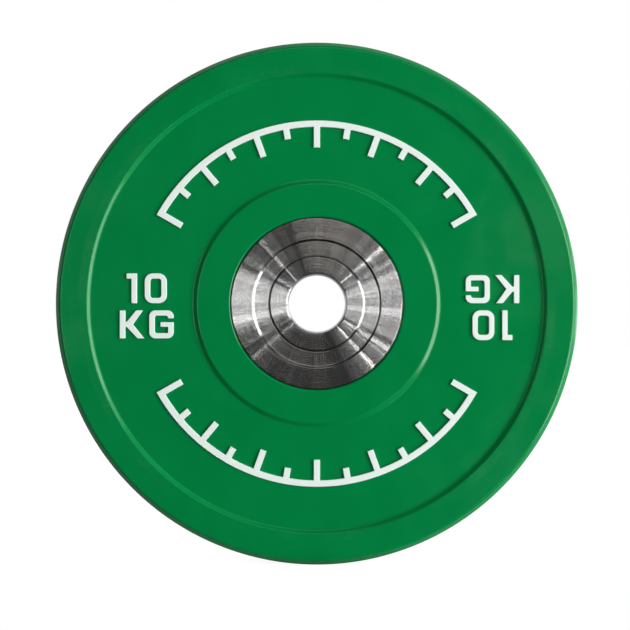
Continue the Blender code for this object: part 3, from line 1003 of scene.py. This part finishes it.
@dataclass
class RubberBody:
    """The moulded body: rim, web and boss on each face, and the slot that holds the core.

    Attributes:
        radius: Outer radius of the plate.
        half_thickness: From mid thickness to the rim's face.
        rim_inner: Radius of the rim's inner edge.
        rim_chamfer: Width and depth of the rim's outer chamfer.
        web_outer: Radius where the web meets the rim's wall.
        web_inner: Radius where it meets the boss's wall.
        web_height: Height of the web's face.
        boss_radius: Radius of the boss's outer edge.
        boss_height: Height of the boss's face.
        pocket_radius: Radius of the hub's pocket.
        pocket_bevel: Width and depth of the bevel round the pocket.
        slot_radius: Radius of the core's slot.
        slot_height: Half its thickness.
        peg_count: Pegs that reach from face to face through the core's flow holes.
        peg_circle: Radius of the circle that they lie on.
        peg_radius: Radius of a peg.
        peg_overlap: How far a peg reaches past the slot on each side.
        pocket_round: Rounding of the edges of the pocket's bevel.
        edge_round: Rounding of the inner edge of the rim and of the boss's edge.
        foot_round: Rounding of the web's two corners.
        tread_round: Rounding of the edges of the rim's chamfer.
        steps: Faces in one turn.
        peg_steps: Faces round a peg.
    """

    radius: float = 0.225
    half_thickness: float = 0.0175
    rim_inner: float = 0.1966
    rim_chamfer: float = 0.0055
    web_outer: float = 0.1938
    web_inner: float = 0.1059
    web_height: float = 0.0150
    boss_radius: float = 0.1023
    boss_height: float = 0.0172
    pocket_radius: float = 0.0738
    pocket_bevel: tuple[float, float] = (0.0013, 0.0009)
    slot_radius: float = 0.1088
    slot_height: float = 0.0033
    peg_count: int = 8
    peg_circle: float = 0.0910
    peg_radius: float = 0.0057
    peg_overlap: float = 0.0005
    pocket_round: float = 0.0003
    edge_round: float = 0.0007
    foot_round: float = 0.0009
    tread_round: float = 0.0014
    steps: int = 240
    peg_steps: int = 32

    def front_corners(self) -> list[Corner]:
        """The front half of the profile, from the pocket out to the tread."""
        width, depth = self.pocket_bevel
        return [
            Corner(self.pocket_radius, self.boss_height - depth, self.pocket_round),
            Corner(self.pocket_radius + width, self.boss_height, self.pocket_round),
            Corner(self.boss_radius, self.boss_height, self.edge_round),
            Corner(self.web_inner, self.web_height, self.foot_round),
            Corner(self.web_outer, self.web_height, self.foot_round),
            Corner(self.rim_inner, self.half_thickness, self.edge_round),
            Corner(self.radius - self.rim_chamfer, self.half_thickness, self.tread_round),
            Corner(self.radius, self.half_thickness - self.rim_chamfer, self.tread_round),
        ]

    def build(self, finishes: FinishBook) -> None:
        """Turn the body and dress it."""
        front = self.front_corners()
        rear = [corner.mirrored() for corner in reversed(front)]
        slot = [
            Corner(self.pocket_radius, -self.slot_height),
            Corner(self.slot_radius, -self.slot_height),
            Corner(self.slot_radius, self.slot_height),
            Corner(self.pocket_radius, self.slot_height),
        ]
        body = Bench.turn("rubber_disc", front + rear + slot, self.steps)
        pegs = self.pegs()
        Bench.combine(body, pegs, "UNION")
        Bench.discard(pegs)
        finishes.dress(body, FinishBook.GREEN, "rubber_body")

    def pegs(self) -> list[Piece]:
        """The rubber that fills the core's flow holes, a little longer than the slot is thick."""
        reach = self.slot_height + self.peg_overlap
        places = ((0, -reach), (self.peg_radius, -reach), (self.peg_radius, reach), (0, reach))
        corners = [Corner(radius, height) for radius, height in places]
        pattern = Bench.turn("flow_peg", corners, self.peg_steps, self.peg_circle)
        return Bench.ring(pattern, "flow_peg", self.peg_count, offset=0.5)


@dataclass
class Hub:
    """The turned steel hub: two discs, the bush with its flange, the lock ring and the bolts.

    Attributes:
        radius: Outer radius of the discs.
        face: Height of the outer and inner rings.
        chamfer: The discs' outer chamfer.
        step_drop: How far the middle ring lies below the others.
        outer_step: Radii of the foot and the top of the step to the outer ring.
        inner_step: Radii of the top and the foot of the step from the inner ring.
        back: Height of the discs' backs, where they clamp the core.
        bush_radius: Outer radius of the bush.
        sleeve_hole: Radius of the discs' holes for it.
        flange_back: Height of the back of its flange.
        pocket_radius: Radius of the discs' pockets for the flange and the ring.
        pocket_height: Height of those pockets' floors.
        groove: Inner and outer radius of the rear disc's groove for the calibration ring.
        groove_floor: Height of that groove's floor.
        bore: Radius of the bore.
        mouth: Radius of the bore's chamfers.
        edge_round: Rounding of the edges of the rings.
        fine_round: Rounding of the edges of the chamfers and of the middle ring.
        foot_round: Rounding of the outer step's foot.
        steps: Faces in one turn.
    """

    radius: float = 0.0735
    face: float = 0.0175
    chamfer: float = 0.0008
    step_drop: float = 0.0016
    outer_step: tuple[float, float] = (0.0536, 0.0554)
    inner_step: tuple[float, float] = (0.0395, 0.0413)
    back: float = 0.0033
    bush_radius: float = 0.0286
    sleeve_hole: float = 0.0289
    flange_back: float = 0.0115
    pocket_radius: float = 0.0416
    pocket_height: float = 0.0112
    groove: tuple[float, float] = (0.03495, 0.05495)
    groove_floor: float = 0.0072
    bore: float = 0.0253
    mouth: float = 0.0262
    edge_round: float = 0.0002
    fine_round: float = 0.00015
    foot_round: float = 0.0003
    steps: int = 192

    def disc_corners(self, grooved: bool) -> list[Corner]:
        """A disc's profile, drawn as on the front.

        Args:
            grooved: Whether its back has the groove for the calibration ring.

        Returns:
            The corners in order.
        """
        foot, top = self.outer_step
        inner, outer = self.groove
        groove = [
            Corner(outer, self.back),
            Corner(outer, self.groove_floor),
            Corner(inner, self.groove_floor),
            Corner(inner, self.back),
        ]
        return [
            Corner(top, self.face, self.edge_round),
            Corner(self.radius - self.chamfer, self.face, self.fine_round),
            Corner(self.radius, self.face - self.chamfer, self.fine_round),
            Corner(self.radius, self.back),
            *(groove if grooved else []),
            Corner(self.sleeve_hole, self.back),
            Corner(self.sleeve_hole, self.pocket_height),
            Corner(self.pocket_radius, self.pocket_height),
            Corner(self.pocket_radius, self.face - self.step_drop, self.fine_round),
            Corner(foot, self.face - self.step_drop, self.foot_round),
        ]

    def bush_corners(self) -> list[Corner]:
        """The bush's profile, with its flange at the front."""
        top, foot = self.inner_step
        return [
            Corner(self.mouth, self.face, self.fine_round),
            Corner(top, self.face, self.edge_round),
            Corner(foot, self.face - self.step_drop, self.fine_round),
            Corner(foot, self.flange_back),
            Corner(self.bush_radius, self.flange_back),
            Corner(self.bush_radius, -self.face, self.edge_round),
            Corner(self.mouth, -self.face, self.fine_round),
            Corner(self.bore, -self.face + self.mouth - self.bore),
            Corner(self.bore, self.face - self.mouth + self.bore),
        ]

    def ring_corners(self) -> list[Corner]:
        """The lock ring's profile, at the rear."""
        top, foot = self.inner_step
        return [
            Corner(self.sleeve_hole, self.face, self.edge_round),
            Corner(top, self.face, self.edge_round),
            Corner(foot, self.face - self.step_drop, self.fine_round),
            Corner(foot, self.flange_back),
            Corner(self.sleeve_hole, self.flange_back),
        ]

    def build(self, bolts: "HubBolts", pins: "PinHoles", finishes: FinishBook) -> None:
        """Turn the four pieces, drill them and dress them.

        Args:
            bolts: The bolts, which give the discs' stepped holes.
            pins: The lock ring's holes.
            finishes: The plate's finishes.
        """
        bolt_holes, pin_holes = bolts.cutters(), pins.cutters()
        rear_disc = [corner.mirrored() for corner in self.disc_corners(grooved=True)]
        rear_ring = [corner.mirrored() for corner in self.ring_corners()]
        for name, corners, holes, node in (
            ("hub_face_disc", self.disc_corners(grooved=False), bolt_holes, "hub_disc_front"),
            ("hub_back_disc", rear_disc, bolt_holes, "hub_disc_rear"),
            ("bore_sleeve_bush", self.bush_corners(), [], "bore_bush"),
            ("rear_lock_ring", rear_ring, pin_holes, "lock_ring"),
        ):
            piece = Bench.turn(name, corners, self.steps)
            if holes:
                Bench.combine(piece, holes, "DIFFERENCE")
            finishes.dress(piece, FinishBook.STEEL, node)
        Bench.discard(bolt_holes + pin_holes)


@dataclass
class PinHoles:
    """The blind holes in the lock ring that its key turns it by.

    Attributes:
        count: Holes in the ring.
        circle: Radius of the circle that they lie on.
        radius: Radius of a hole.
        depth: Depth of a hole.
        countersink: Width of the hole's countersink.
        face: Height of the ring's face, as a positive distance to the rear.
        steps: Faces round a hole.
    """

    count: int = 4
    circle: float = 0.0345
    radius: float = 0.0020
    depth: float = 0.0030
    countersink: float = 0.0003
    face: float = 0.0175
    steps: int = 40

    def cutters(self) -> list[Piece]:
        """One cutter for each hole."""
        corners = [
            Corner(0, -self.face + self.depth),
            Corner(self.radius, -self.face + self.depth),
            Corner(self.radius, -self.face + self.countersink),
            Corner(self.radius + self.countersink + CUTTER_REACH, -self.face - CUTTER_REACH),
            Corner(0, -self.face - CUTTER_REACH),
        ]
        pattern = Bench.turn("pin_cutter", corners, self.steps, self.circle)
        return Bench.ring(pattern, "pin_cutter", self.count)


@dataclass
class HubBolts:
    """The socket screws that draw the hub discs together from the rear.

    Attributes:
        count: Screws in the hub.
        circle: Radius of the circle that they lie on.
        shank: Radius of the shank.
        head: Radius of the head.
        end: Height of the shank's end.
        seat: Height of the head's underside.
        top: Height of the head's top.
        socket: Radius of the hexagon's corners.
        socket_depth: Depth of the hexagon.
        clearance: Room between a screw and its hole.
        hole_end: Height of the hole's blind end.
        disc_face: Height of the rear disc's face.
        countersink: Width of the hole's countersink.
        end_round: Rounding of the shank's end and of the head's top.
        seat_round: Rounding of the head's underside.
        steps: Faces round a screw.
    """

    count: int = 6
    circle: float = 0.0640
    shank: float = 0.0030
    head: float = 0.0050
    end: float = 0.0127
    seat: float = -0.0112
    top: float = -0.0172
    socket: float = 0.0028
    socket_depth: float = 0.0030
    clearance: float = 0.0003
    hole_end: float = 0.0135
    disc_face: float = -0.0175
    countersink: float = 0.0003
    end_round: float = 0.0006
    seat_round: float = 0.0002
    steps: int = 48

    def cutters(self) -> list[Piece]:
        """One stepped and countersunk cutter for each screw."""
        shank = self.shank + self.clearance
        head = self.head + self.clearance
        corners = [
            Corner(0, self.hole_end),
            Corner(shank, self.hole_end),
            Corner(shank, self.seat + self.clearance),
            Corner(head, self.seat + self.clearance),
            Corner(head, self.disc_face + self.countersink),
            Corner(head + self.countersink + CUTTER_REACH, self.disc_face - CUTTER_REACH),
            Corner(0, self.disc_face - CUTTER_REACH),
        ]
        pattern = Bench.turn("bolt_cutter", corners, self.steps, self.circle)
        return Bench.ring(pattern, "bolt_cutter", self.count)

    def build(self, finishes: FinishBook) -> None:
        """Model one screw with its hexagon, copy it round, and dress the six."""
        corners = [
            Corner(0, self.end),
            Corner(self.shank, self.end, self.end_round),
            Corner(self.shank, self.seat),
            Corner(self.head, self.seat, self.seat_round),
            Corner(self.head, self.top, self.end_round),
            Corner(0, self.top),
        ]
        pattern = Bench.turn("socket_screw", corners, self.steps, self.circle)
        Bench.clear()
        bpy.ops.mesh.primitive_cylinder_add(
            vertices=HEXAGON,
            radius=self.socket,
            depth=2 * self.socket_depth,
            location=(self.circle, -self.top, 0),
            rotation=(FULL_TURN / 4, 0, 0),
        )
        hexagon = bpy.context.active_object
        Bench.combine(pattern, [hexagon], "DIFFERENCE")
        Bench.discard([hexagon])
        for number, screw in enumerate(Bench.ring(pattern, "socket_screw", self.count), 1):
            finishes.dress(screw, FinishBook.BOLT, f"hub_bolt_{number}")


@dataclass
class Core:
    """The pieces inside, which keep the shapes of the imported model."""

    disc: str = "core_disc"
    ring: str = "calibration_ring"

    def build(self, finishes: FinishBook) -> None:
        """Dress the core disc and the calibration ring."""
        finishes.repaint(self.disc, FinishBook.CORE)
        finishes.repaint(self.ring, FinishBook.CALIBRATION)


@dataclass
class Raised:
    """What the raised pieces share.

    Attributes:
        edge: Rounding of the front edges.
        web_height: Height of the web that they stand on.
        sink: How far their feet reach below it.
    """

    edge: float = 0.00025
    web_height: float = 0.0150
    sink: float = 0.0002

    def foot(self) -> float:
        """Where their feet lie along the bore."""
        return -(self.web_height - self.sink)


@dataclass
class Characters(Raised):
    """The raised figures and letters, each fitted to its node's box.

    Attributes:
        inset: How far the outline's front lies inside that box.
        stroke: Width of a stroke.
        end: Rounding of a stroke's end.
        frame_round: Rounding of the G's outer corners.
        zero_round: Rounding of the zero's outer corners.
        inner_round: Rounding of the G's inner corners.
        bridge_reach: How far the K's bridge reaches past its stem.
        notch_depth: Depth of the K's notch from the right.
        foot_width: Width of the K's arms at their ends.
        top_inset: How far the K's upper arm ends short of its lower one.
        top_end_drop: How far the G's top stroke turns down.
        mouth: Height of the G's mouth.
        bar: Thickness of the G's bar.
        bar_length: Length of the G's bar.
    """

    inset: float = 0.0003
    stroke: float = 0.0045
    end: float = 0.0005
    frame_round: float = 0.0052
    zero_round: float = 0.0069
    inner_round: float = 0.0020
    bridge_reach: float = 0.0015
    notch_depth: float = 0.0096
    foot_width: float = 0.0055
    top_inset: float = 0.0010
    top_end_drop: float = 0.0023
    mouth: float = 0.0033
    bar: float = 0.0040
    bar_length: float = 0.0110

    def one(self, width: float, height: float) -> list[Bend]:
        """The figure one: a stem with a short flag."""
        stem = width - self.stroke
        flag = height - self.stroke
        return [
            Bend(stem, 0, self.end),
            Bend(width, 0, self.end),
            Bend(width, height, self.end),
            Bend(0, height, self.end),
            Bend(0, flag, self.end),
            Bend(stem, flag, self.end),
        ]

    def zero(self, width: float, height: float) -> list[Bend]:
        """The outside of the figure zero, whose inside is inset from it."""
        places = ((0, 0), (width, 0), (width, height), (0, height))
        return [Bend(right, up, self.zero_round) for right, up in places]

    def letter_k(self, width: float, height: float) -> list[Bend]:
        """The letter K: a stem, a short bridge and two arms."""
        low = height / 2 - self.stroke / 2
        high = height / 2 + self.stroke / 2
        bridge = self.stroke + self.bridge_reach
        top = width - self.top_inset
        return [
            Bend(0, 0, self.end),
            Bend(self.stroke, 0, self.end),
            Bend(self.stroke, low, self.end),
            Bend(bridge, low, self.end),
            Bend(width - self.foot_width, 0, self.end),
            Bend(width, 0),
            Bend(width - self.notch_depth, height / 2, self.end),
            Bend(top, height),
            Bend(top - self.foot_width, height, self.end),
            Bend(bridge, high, self.end),
            Bend(self.stroke, high, self.end),
            Bend(self.stroke, height, self.end),
            Bend(0, height, self.end),
        ]

    def letter_g(self, width: float, height: float) -> list[Bend]:
        """The letter G: a rounded frame, open at the upper right, with a bar that points into it."""
        right = width - self.stroke
        top = height - self.stroke
        mouth_top = top - self.top_end_drop
        bar_top = mouth_top - self.mouth
        bar_low = bar_top - self.bar
        bar_left = width - self.bar_length
        return [
            Bend(0, 0, self.frame_round),
            Bend(width, 0, self.frame_round),
            Bend(width, bar_top, self.end),
            Bend(bar_left, bar_top, self.end),
            Bend(bar_left, bar_low, self.end),
            Bend(right, bar_low, self.end),
            Bend(right, self.stroke, self.end),
            Bend(self.stroke, self.stroke, self.inner_round),
            Bend(self.stroke, top, self.inner_round),
            Bend(right, top, self.inner_round),
            Bend(right, mouth_top, self.end),
            Bend(width, mouth_top, self.end),
            Bend(width, height, self.frame_round),
            Bend(0, height, self.frame_round),
        ]

    def trace(self, name: str, node: str, outline: Outline, upright: bool) -> Piece:
        """Trace a character in its node's box on the front and push it up from the web.

        Args:
            name: The new object's name.
            node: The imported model's node on the front face.
            outline: Gives the corners for a width and a height.
            upright: Whether the character stands upright or is turned by half a turn.

        Returns:
            The raised character.
        """
        low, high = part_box(node)
        margin = Vector((self.inset, 0, self.inset))
        low, high = low + margin, high - margin
        size = high - low
        corner = Vector((low.x, 0, low.z)) if upright else Vector((high.x, 0, high.z))
        sign = 1 if upright else -1
        foot = self.foot()
        bends = outline(size.x, size.z)
        points = [corner + Vector((sign * bend.right, foot, sign * bend.up)) for bend in bends]
        piece = Bench.start_point(name, points[0])
        Bench.draw(points)
        Bench.close_line(piece, points[0], points[-1])
        for bend, point in zip(bends, points):
            if bend.fillet:
                segments = BROAD_SEGMENTS if bend.fillet > self.end else EDGE_SEGMENTS
                Bench.round_point(piece, point, bend.fillet, segments)
        bpy.ops.mesh.select_all(action="SELECT")
        bpy.ops.mesh.edge_face_add()
        if outline == self.zero:
            bpy.ops.mesh.select_mode(type="FACE")
            bpy.ops.mesh.select_all(action="SELECT")
            bpy.ops.mesh.inset(thickness=self.stroke)
            bpy.ops.mesh.delete(type="FACE")
        Bench.push_up(piece, foot - low.y, self.edge)
        return piece

    def build(self, finishes: FinishBook) -> None:
        """Make both blocks on the front, copy them to the rear, and dress them."""
        outlines = {"1": self.one, "0": self.zero, "k": self.letter_k, "g": self.letter_g}
        for side in ("left", "right"):
            for character, outline in outlines.items():
                node = f"marking_front_{side}_{character}"
                piece = self.trace(f"raised_front_{side}_{character}", node, outline, upright=side == "left")
                finishes.dress_both_faces(piece, FinishBook.WHITE, node)


@dataclass
class Scales(Raised):
    """The raised scales above and below the hub: an arc line with long and short ticks.

    Attributes:
        outer: Radius of the line's outer edge.
        stroke: Width of the line and of the ticks.
        long_tick: Height of the scale at a long tick.
        short_tick: Height of the scale at a short tick.
        tick_count: Ticks on a scale.
        tick_spacing: Degrees between ticks.
        tick_half: Degrees that half a tick takes up.
        middle: Degrees from +X to the upper scale's middle.
    """

    outer: float = 0.15655
    stroke: float = 0.0053
    long_tick: float = 0.0230
    short_tick: float = 0.0138
    tick_count: int = 13
    tick_spacing: int = 10
    tick_half: int = 1
    middle: int = 90

    def pull_tick(self, piece: Piece, degrees: float, height: float) -> None:
        """Pull the two edges at a tick's place out of the arc's inner side, towards the hub.

        Args:
            piece: The flat arc, in edit mode.
            degrees: The tick's angle from +X towards +Z.
            height: The scale's height at this tick.
        """
        inner = self.outer - self.stroke
        angle = math.radians(degrees)
        inwards = Vector((-math.cos(angle), 0, -math.sin(angle)))

        def at_tick(candidate: bmesh.types.BMEdge) -> bool:
            """An edge of the arc's inner side that lies within the tick's width."""
            on_inner = all(abs(Vector((v.co.x, v.co.z)).length - inner) < WELD for v in candidate.verts)
            middle = (candidate.verts[0].co + candidate.verts[1].co) / 2
            away = math.remainder(math.atan2(middle.z, middle.x) - angle, FULL_TURN)
            return on_inner and abs(away) < math.radians(self.tick_half)

        Bench.pick_edges(piece, at_tick)
        bpy.ops.mesh.extrude_edges_move(TRANSFORM_OT_translate={"value": inwards * (height - self.stroke)})

    def raised_arc(self, name: str, front_node: str) -> Piece:
        """The scale above the hub: a spun line, its ticks pulled out, and all of it pushed up.

        Args:
            name: The new object's name.
            front_node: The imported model's node, whose box gives the front's height.

        Returns:
            The raised scale.
        """
        span = (self.tick_count - 1) * self.tick_spacing + 2 * self.tick_half
        start = self.middle - span / 2
        angle = math.radians(start)
        foot = self.foot()
        outwards = Vector((math.cos(angle), 0, math.sin(angle)))
        ends = [outwards * (self.outer - self.stroke), outwards * self.outer]
        ends = [Vector((end.x, foot, end.z)) for end in ends]
        piece = Bench.start_point(name, ends[0])
        Bench.draw(ends)
        bpy.ops.mesh.select_all(action="SELECT")
        bpy.ops.mesh.spin(steps=span, angle=math.radians(span), center=(0, 0, 0), axis=(0, 1, 0))
        for number in range(self.tick_count):
            height = self.short_tick if number % 2 else self.long_tick
            self.pull_tick(piece, start + self.tick_half + number * self.tick_spacing, height)
        Bench.push_up(piece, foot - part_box(front_node)[0].y, self.edge)
        return piece

    def build(self, finishes: FinishBook) -> None:
        """Make the scale above the hub, copy it to the other three places, and dress all four."""
        top = self.raised_arc("raised_scale_front_top", "scale_front_top")
        bottom = Bench.copy_round(top, "raised_scale_front_bottom", FULL_TURN / 2)
        finishes.dress_both_faces(top, FinishBook.WHITE, "scale_front_top")
        finishes.dress_both_faces(bottom, FinishBook.WHITE, "scale_front_bottom")


@dataclass(frozen=True)
class Lamp:
    """A flat lamp that faces the plate's middle.

    Attributes:
        name: The lamp's name.
        round: Degrees round the bore, from +X towards +Z.
        breadth: Size across, round the bore.
        level: Light that a surface facing the lamp gets at the plate's middle.
        off_axis: Degrees from the line straight out of the plate's front.
        distance: Distance from the plate's middle.
        length: Size along, towards the bore's line.
        tint: The light's colour.
    """

    name: str
    round: float
    breadth: float
    level: float
    off_axis: float = 33.5
    distance: float = 4.0
    length: float = 0.8
    tint: tuple[float, float, float] = (1.0, 1.0, 1.0)

    def hang(self) -> None:
        """Hang the lamp in the scene."""
        turn = math.radians(self.round)
        tilt = math.radians(self.off_axis)
        outwards = Vector((math.cos(turn), 0, math.sin(turn)))
        across = Vector((-math.sin(turn), 0, math.cos(turn)))
        away = outwards * math.sin(tilt) + Vector((0, -1, 0)) * math.cos(tilt)
        along = away.cross(across)
        data = bpy.data.lights.new(self.name, "AREA")
        data.shape = "RECTANGLE"
        data.size = self.breadth
        data.size_y = self.length
        data.energy = self.level * math.pi * self.distance ** 2
        data.color = self.tint
        lamp = bpy.data.objects.new(self.name, data)
        bpy.context.scene.collection.objects.link(lamp)
        axes = Matrix((across, along, away)).transposed().to_4x4()
        lamp.matrix_world = Matrix.Translation(away * self.distance) @ axes


@dataclass
class Studio:
    """The floor, the white surroundings, the lamps and the camera.

    Attributes:
        floor_height: Where the plate's tread touches the floor.
        floor_front: How far the floor reaches in front of the plate.
        floor_back: How far it reaches behind and to the sides.
        floor_white: Share of its own white that the floor shows to the camera.
        floor_lit: How bright its lit share is, so that both make plain white where no shadow falls.
        floor_gloss: Share of that white that its reflections show.
        floor_grey: The floor's colour where light falls on it.
        floor_cells: Faces along each of its sides.
        room_front: Light from the room before the plate.
        room_dark: Light from behind the camera, and from the room's sides in line with the plate.
        room_rear: Light from the room behind the plate.
        front_light: Where the light before the plate starts, is full, starts to fade and ends. Here and in
            the next two, -1 is behind the camera, 0 is in line with the plate and 1 is behind the plate.
        rear_light: Where the light behind the plate starts and is full.
        paper: Where the white that reflections show behind the plate starts and is full.
        camera_distance: From the hub's front to the camera.
        camera_near: Where the camera's view starts.
        sensor: Width of the camera's sensor, in mm.
        lens: Focal length, in mm.
        shift: The camera's shift, right and up, as shares of the picture.
        lamps: The lamps.
    """

    floor_height: float = -0.225
    floor_front: float = 0.03
    floor_back: float = 3.0
    floor_white: float = 0.60
    floor_lit: float = 0.19
    floor_gloss: float = 0.10
    floor_grey: float = 0.65
    floor_cells: int = 12
    room_front: float = 0.063
    room_dark: float = 0.027
    room_rear: float = 0.88
    front_light: tuple[float, float, float, float] = (-0.95, -0.80, -0.45, -0.20)
    rear_light: tuple[float, float] = (0.05, 0.50)
    paper: tuple[float, float] = (0.72, 0.80)
    camera_distance: float = 0.600
    camera_near: float = 0.01
    sensor: float = 36.0
    lens: float = 40.2
    shift: tuple[float, float] = (-0.0029, -0.0181)
    lamps: tuple[Lamp, ...] = (
        Lamp("window_near", -1, 3.9, 3.1, off_axis=64, length=1.2),
        Lamp("window_far", -1, 4.6, 2.4, off_axis=72, length=1.2),
        Lamp("right_screen", 8, 3.2, 0.33),
        Lamp("right_haze_low", -57.5, 0.66, 0.0072),
        Lamp("right_haze_low_near", -55.3, 0.48, 0.0089),
        Lamp("right_haze_low_edge", -52.5, 0.27, 0.0099),
        Lamp("right_strip_1", -48, 0.08, 0.065),
        Lamp("right_haze_middle", -41.5, 0.26, 0.026),
        Lamp("right_strip_2", -37, 0.09, 0.020),
        Lamp("right_strip_3", -32.5, 0.14, 0.066),
        Lamp("right_strip_4", -24.5, 0.09, 0.012),
        Lamp("right_strip_5", -6, 0.19, 0.046),
        Lamp("right_strip_6", 20.5, 0.17, 0.026),
        Lamp("right_strip_7", 30, 0.09, 0.015),
        Lamp("right_strip_8", 40.5, 0.09, 0.046),
        Lamp("right_haze_high", 49, 0.42, 0.020),
        Lamp("left_screen", 176, 1.6, 0.43),
        Lamp("left_strip", 191, 0.23, 0.028),
        Lamp("upper_panel", 78, 2.0, 0.39, off_axis=42, distance=3.0, tint=(1.0, 0.95, 0.90)),
        Lamp("upper_spill", 117, 0.93, 0.036, off_axis=42, distance=3.0, tint=(1.0, 0.96, 0.92)),
        Lamp("glare_spot", 17, 0.30, 0.012, off_axis=20.5, length=0.30),
        Lamp("side_panel", 0, 0.9, 0.85, off_axis=118, distance=2.0, length=0.6),
    )

    def white_share(self, sheet: Sheet, glossy: object) -> Socket:
        """How far a ray sees plain white instead of the lit studio.

        Args:
            sheet: The sheet of the floor or the surroundings.
            glossy: Share of the reflected rays that do.

        Returns:
            The share's socket, from 0 to 1.
        """
        path = sheet.add("LightPath")
        reflected = sheet.maths("MULTIPLY", path.outputs["Is Glossy Ray"], glossy)
        direct = sheet.maths("MAXIMUM", path.outputs["Is Camera Ray"], path.outputs["Is Transmission Ray"])
        return sheet.maths("MAXIMUM", direct, reflected)

    def lay_floor(self) -> None:
        """Lay the pale floor, which keeps a soft shadow under the plate."""
        Bench.clear()
        width = 2 * self.floor_back
        length = self.floor_front + self.floor_back
        cells = self.floor_cells
        bpy.ops.mesh.primitive_grid_add(x_subdivisions=cells, y_subdivisions=cells, size=1)
        floor = bpy.context.active_object
        floor.name = "studio_floor"
        bpy.ops.object.mode_set(mode="EDIT")
        bpy.ops.transform.resize(value=(width, length, 1), center_override=(0, 0, 0))
        bpy.ops.transform.translate(value=(0, (self.floor_back - self.floor_front) / 2, self.floor_height))
        bpy.ops.object.mode_set(mode="OBJECT")
        material = bpy.data.materials.new("studio_floor")
        material.use_nodes = True
        sheet = Sheet(material.node_tree)
        material.node_tree.nodes.remove(material.node_tree.nodes["Principled BSDF"])
        lit = sheet.add("BsdfDiffuse")
        sheet.fill(lit, Color=(self.floor_grey, self.floor_grey, self.floor_grey, 1))
        white = sheet.add("Emission")
        lit_share = (1 - self.floor_white) * self.floor_lit
        sheet.fill(white, Strength=(1 - lit_share) / self.floor_white)
        mixed = sheet.add("MixShader")
        share = sheet.maths("MULTIPLY", self.white_share(sheet, self.floor_gloss), self.floor_white)
        sheet.fill(mixed, Fac=share)
        sheet.join(lit.outputs["BSDF"], mixed.inputs[1])
        sheet.join(white.outputs["Emission"], mixed.inputs[2])
        sheet.fill(material.node_tree.nodes["Material Output"], Surface=mixed.outputs["Shader"])
        floor.data.materials.append(material)

    def surround(self) -> None:
        """Light the room round the plate softly, and show the camera plain white."""
        world = bpy.context.scene.world or bpy.data.worlds.new("studio")
        bpy.context.scene.world = world
        world.use_nodes = True
        sheet = Sheet(world.node_tree)
        direction = sheet.add("SeparateXYZ")
        sheet.fill(direction, Vector=sheet.add("TexCoord").outputs["Generated"])
        depth = direction.outputs["Y"]
        lit_front = self.room_front - self.room_dark
        rise = sheet.span(depth, *self.front_light[:2], 0.0, lit_front, smooth=True)
        fall = sheet.span(depth, *self.front_light[2:], 0.0, lit_front, smooth=True)
        rear = sheet.span(depth, *self.rear_light, self.room_dark, self.room_rear, smooth=True)
        level = sheet.maths("ADD", sheet.maths("SUBTRACT", rise, fall), rear)
        share = self.white_share(sheet, sheet.span(depth, *self.paper, smooth=True))
        shown = sheet.add("Mix", data_type="FLOAT")
        sheet.fill(shown, Factor=share, A=level, B=1.0)
        background = world.node_tree.nodes["Background"]
        sheet.fill(background, Color=(1, 1, 1, 1), Strength=shown.outputs["Result"])

    def set_camera(self) -> None:
        """Set the camera square to the plate's front, on the bore's line."""
        data = bpy.data.cameras.new("studio_camera")
        data.sensor_width = self.sensor
        data.lens = self.lens
        data.shift_x, data.shift_y = self.shift
        data.clip_start = self.camera_near
        camera = bpy.data.objects.new("studio_camera", data)
        bpy.context.scene.collection.objects.link(camera)
        camera.location = (0, CAD_BOX[0].y - self.camera_distance, 0)
        camera.rotation_euler = (FULL_TURN / 4, 0, 0)
        bpy.context.scene.camera = camera

    def build(self) -> None:
        """Set up the studio."""
        self.set_camera()
        self.lay_floor()
        self.surround()
        for lamp in self.lamps:
            lamp.hang()
        bpy.context.scene.view_settings.view_transform = "Standard"


def main() -> None:
    """Build the plate's pieces, then the studio round them."""
    logging.basicConfig(level=logging.INFO, format="%(message)s")
    finishes = FinishBook()
    bolts = HubBolts()
    RubberBody().build(finishes)
    Hub().build(bolts, PinHoles(), finishes)
    bolts.build(finishes)
    Core().build(finishes)
    Characters().build(finishes)
    Scales().build(finishes)
    Studio().build()


if __name__ == "__main__":
    main()
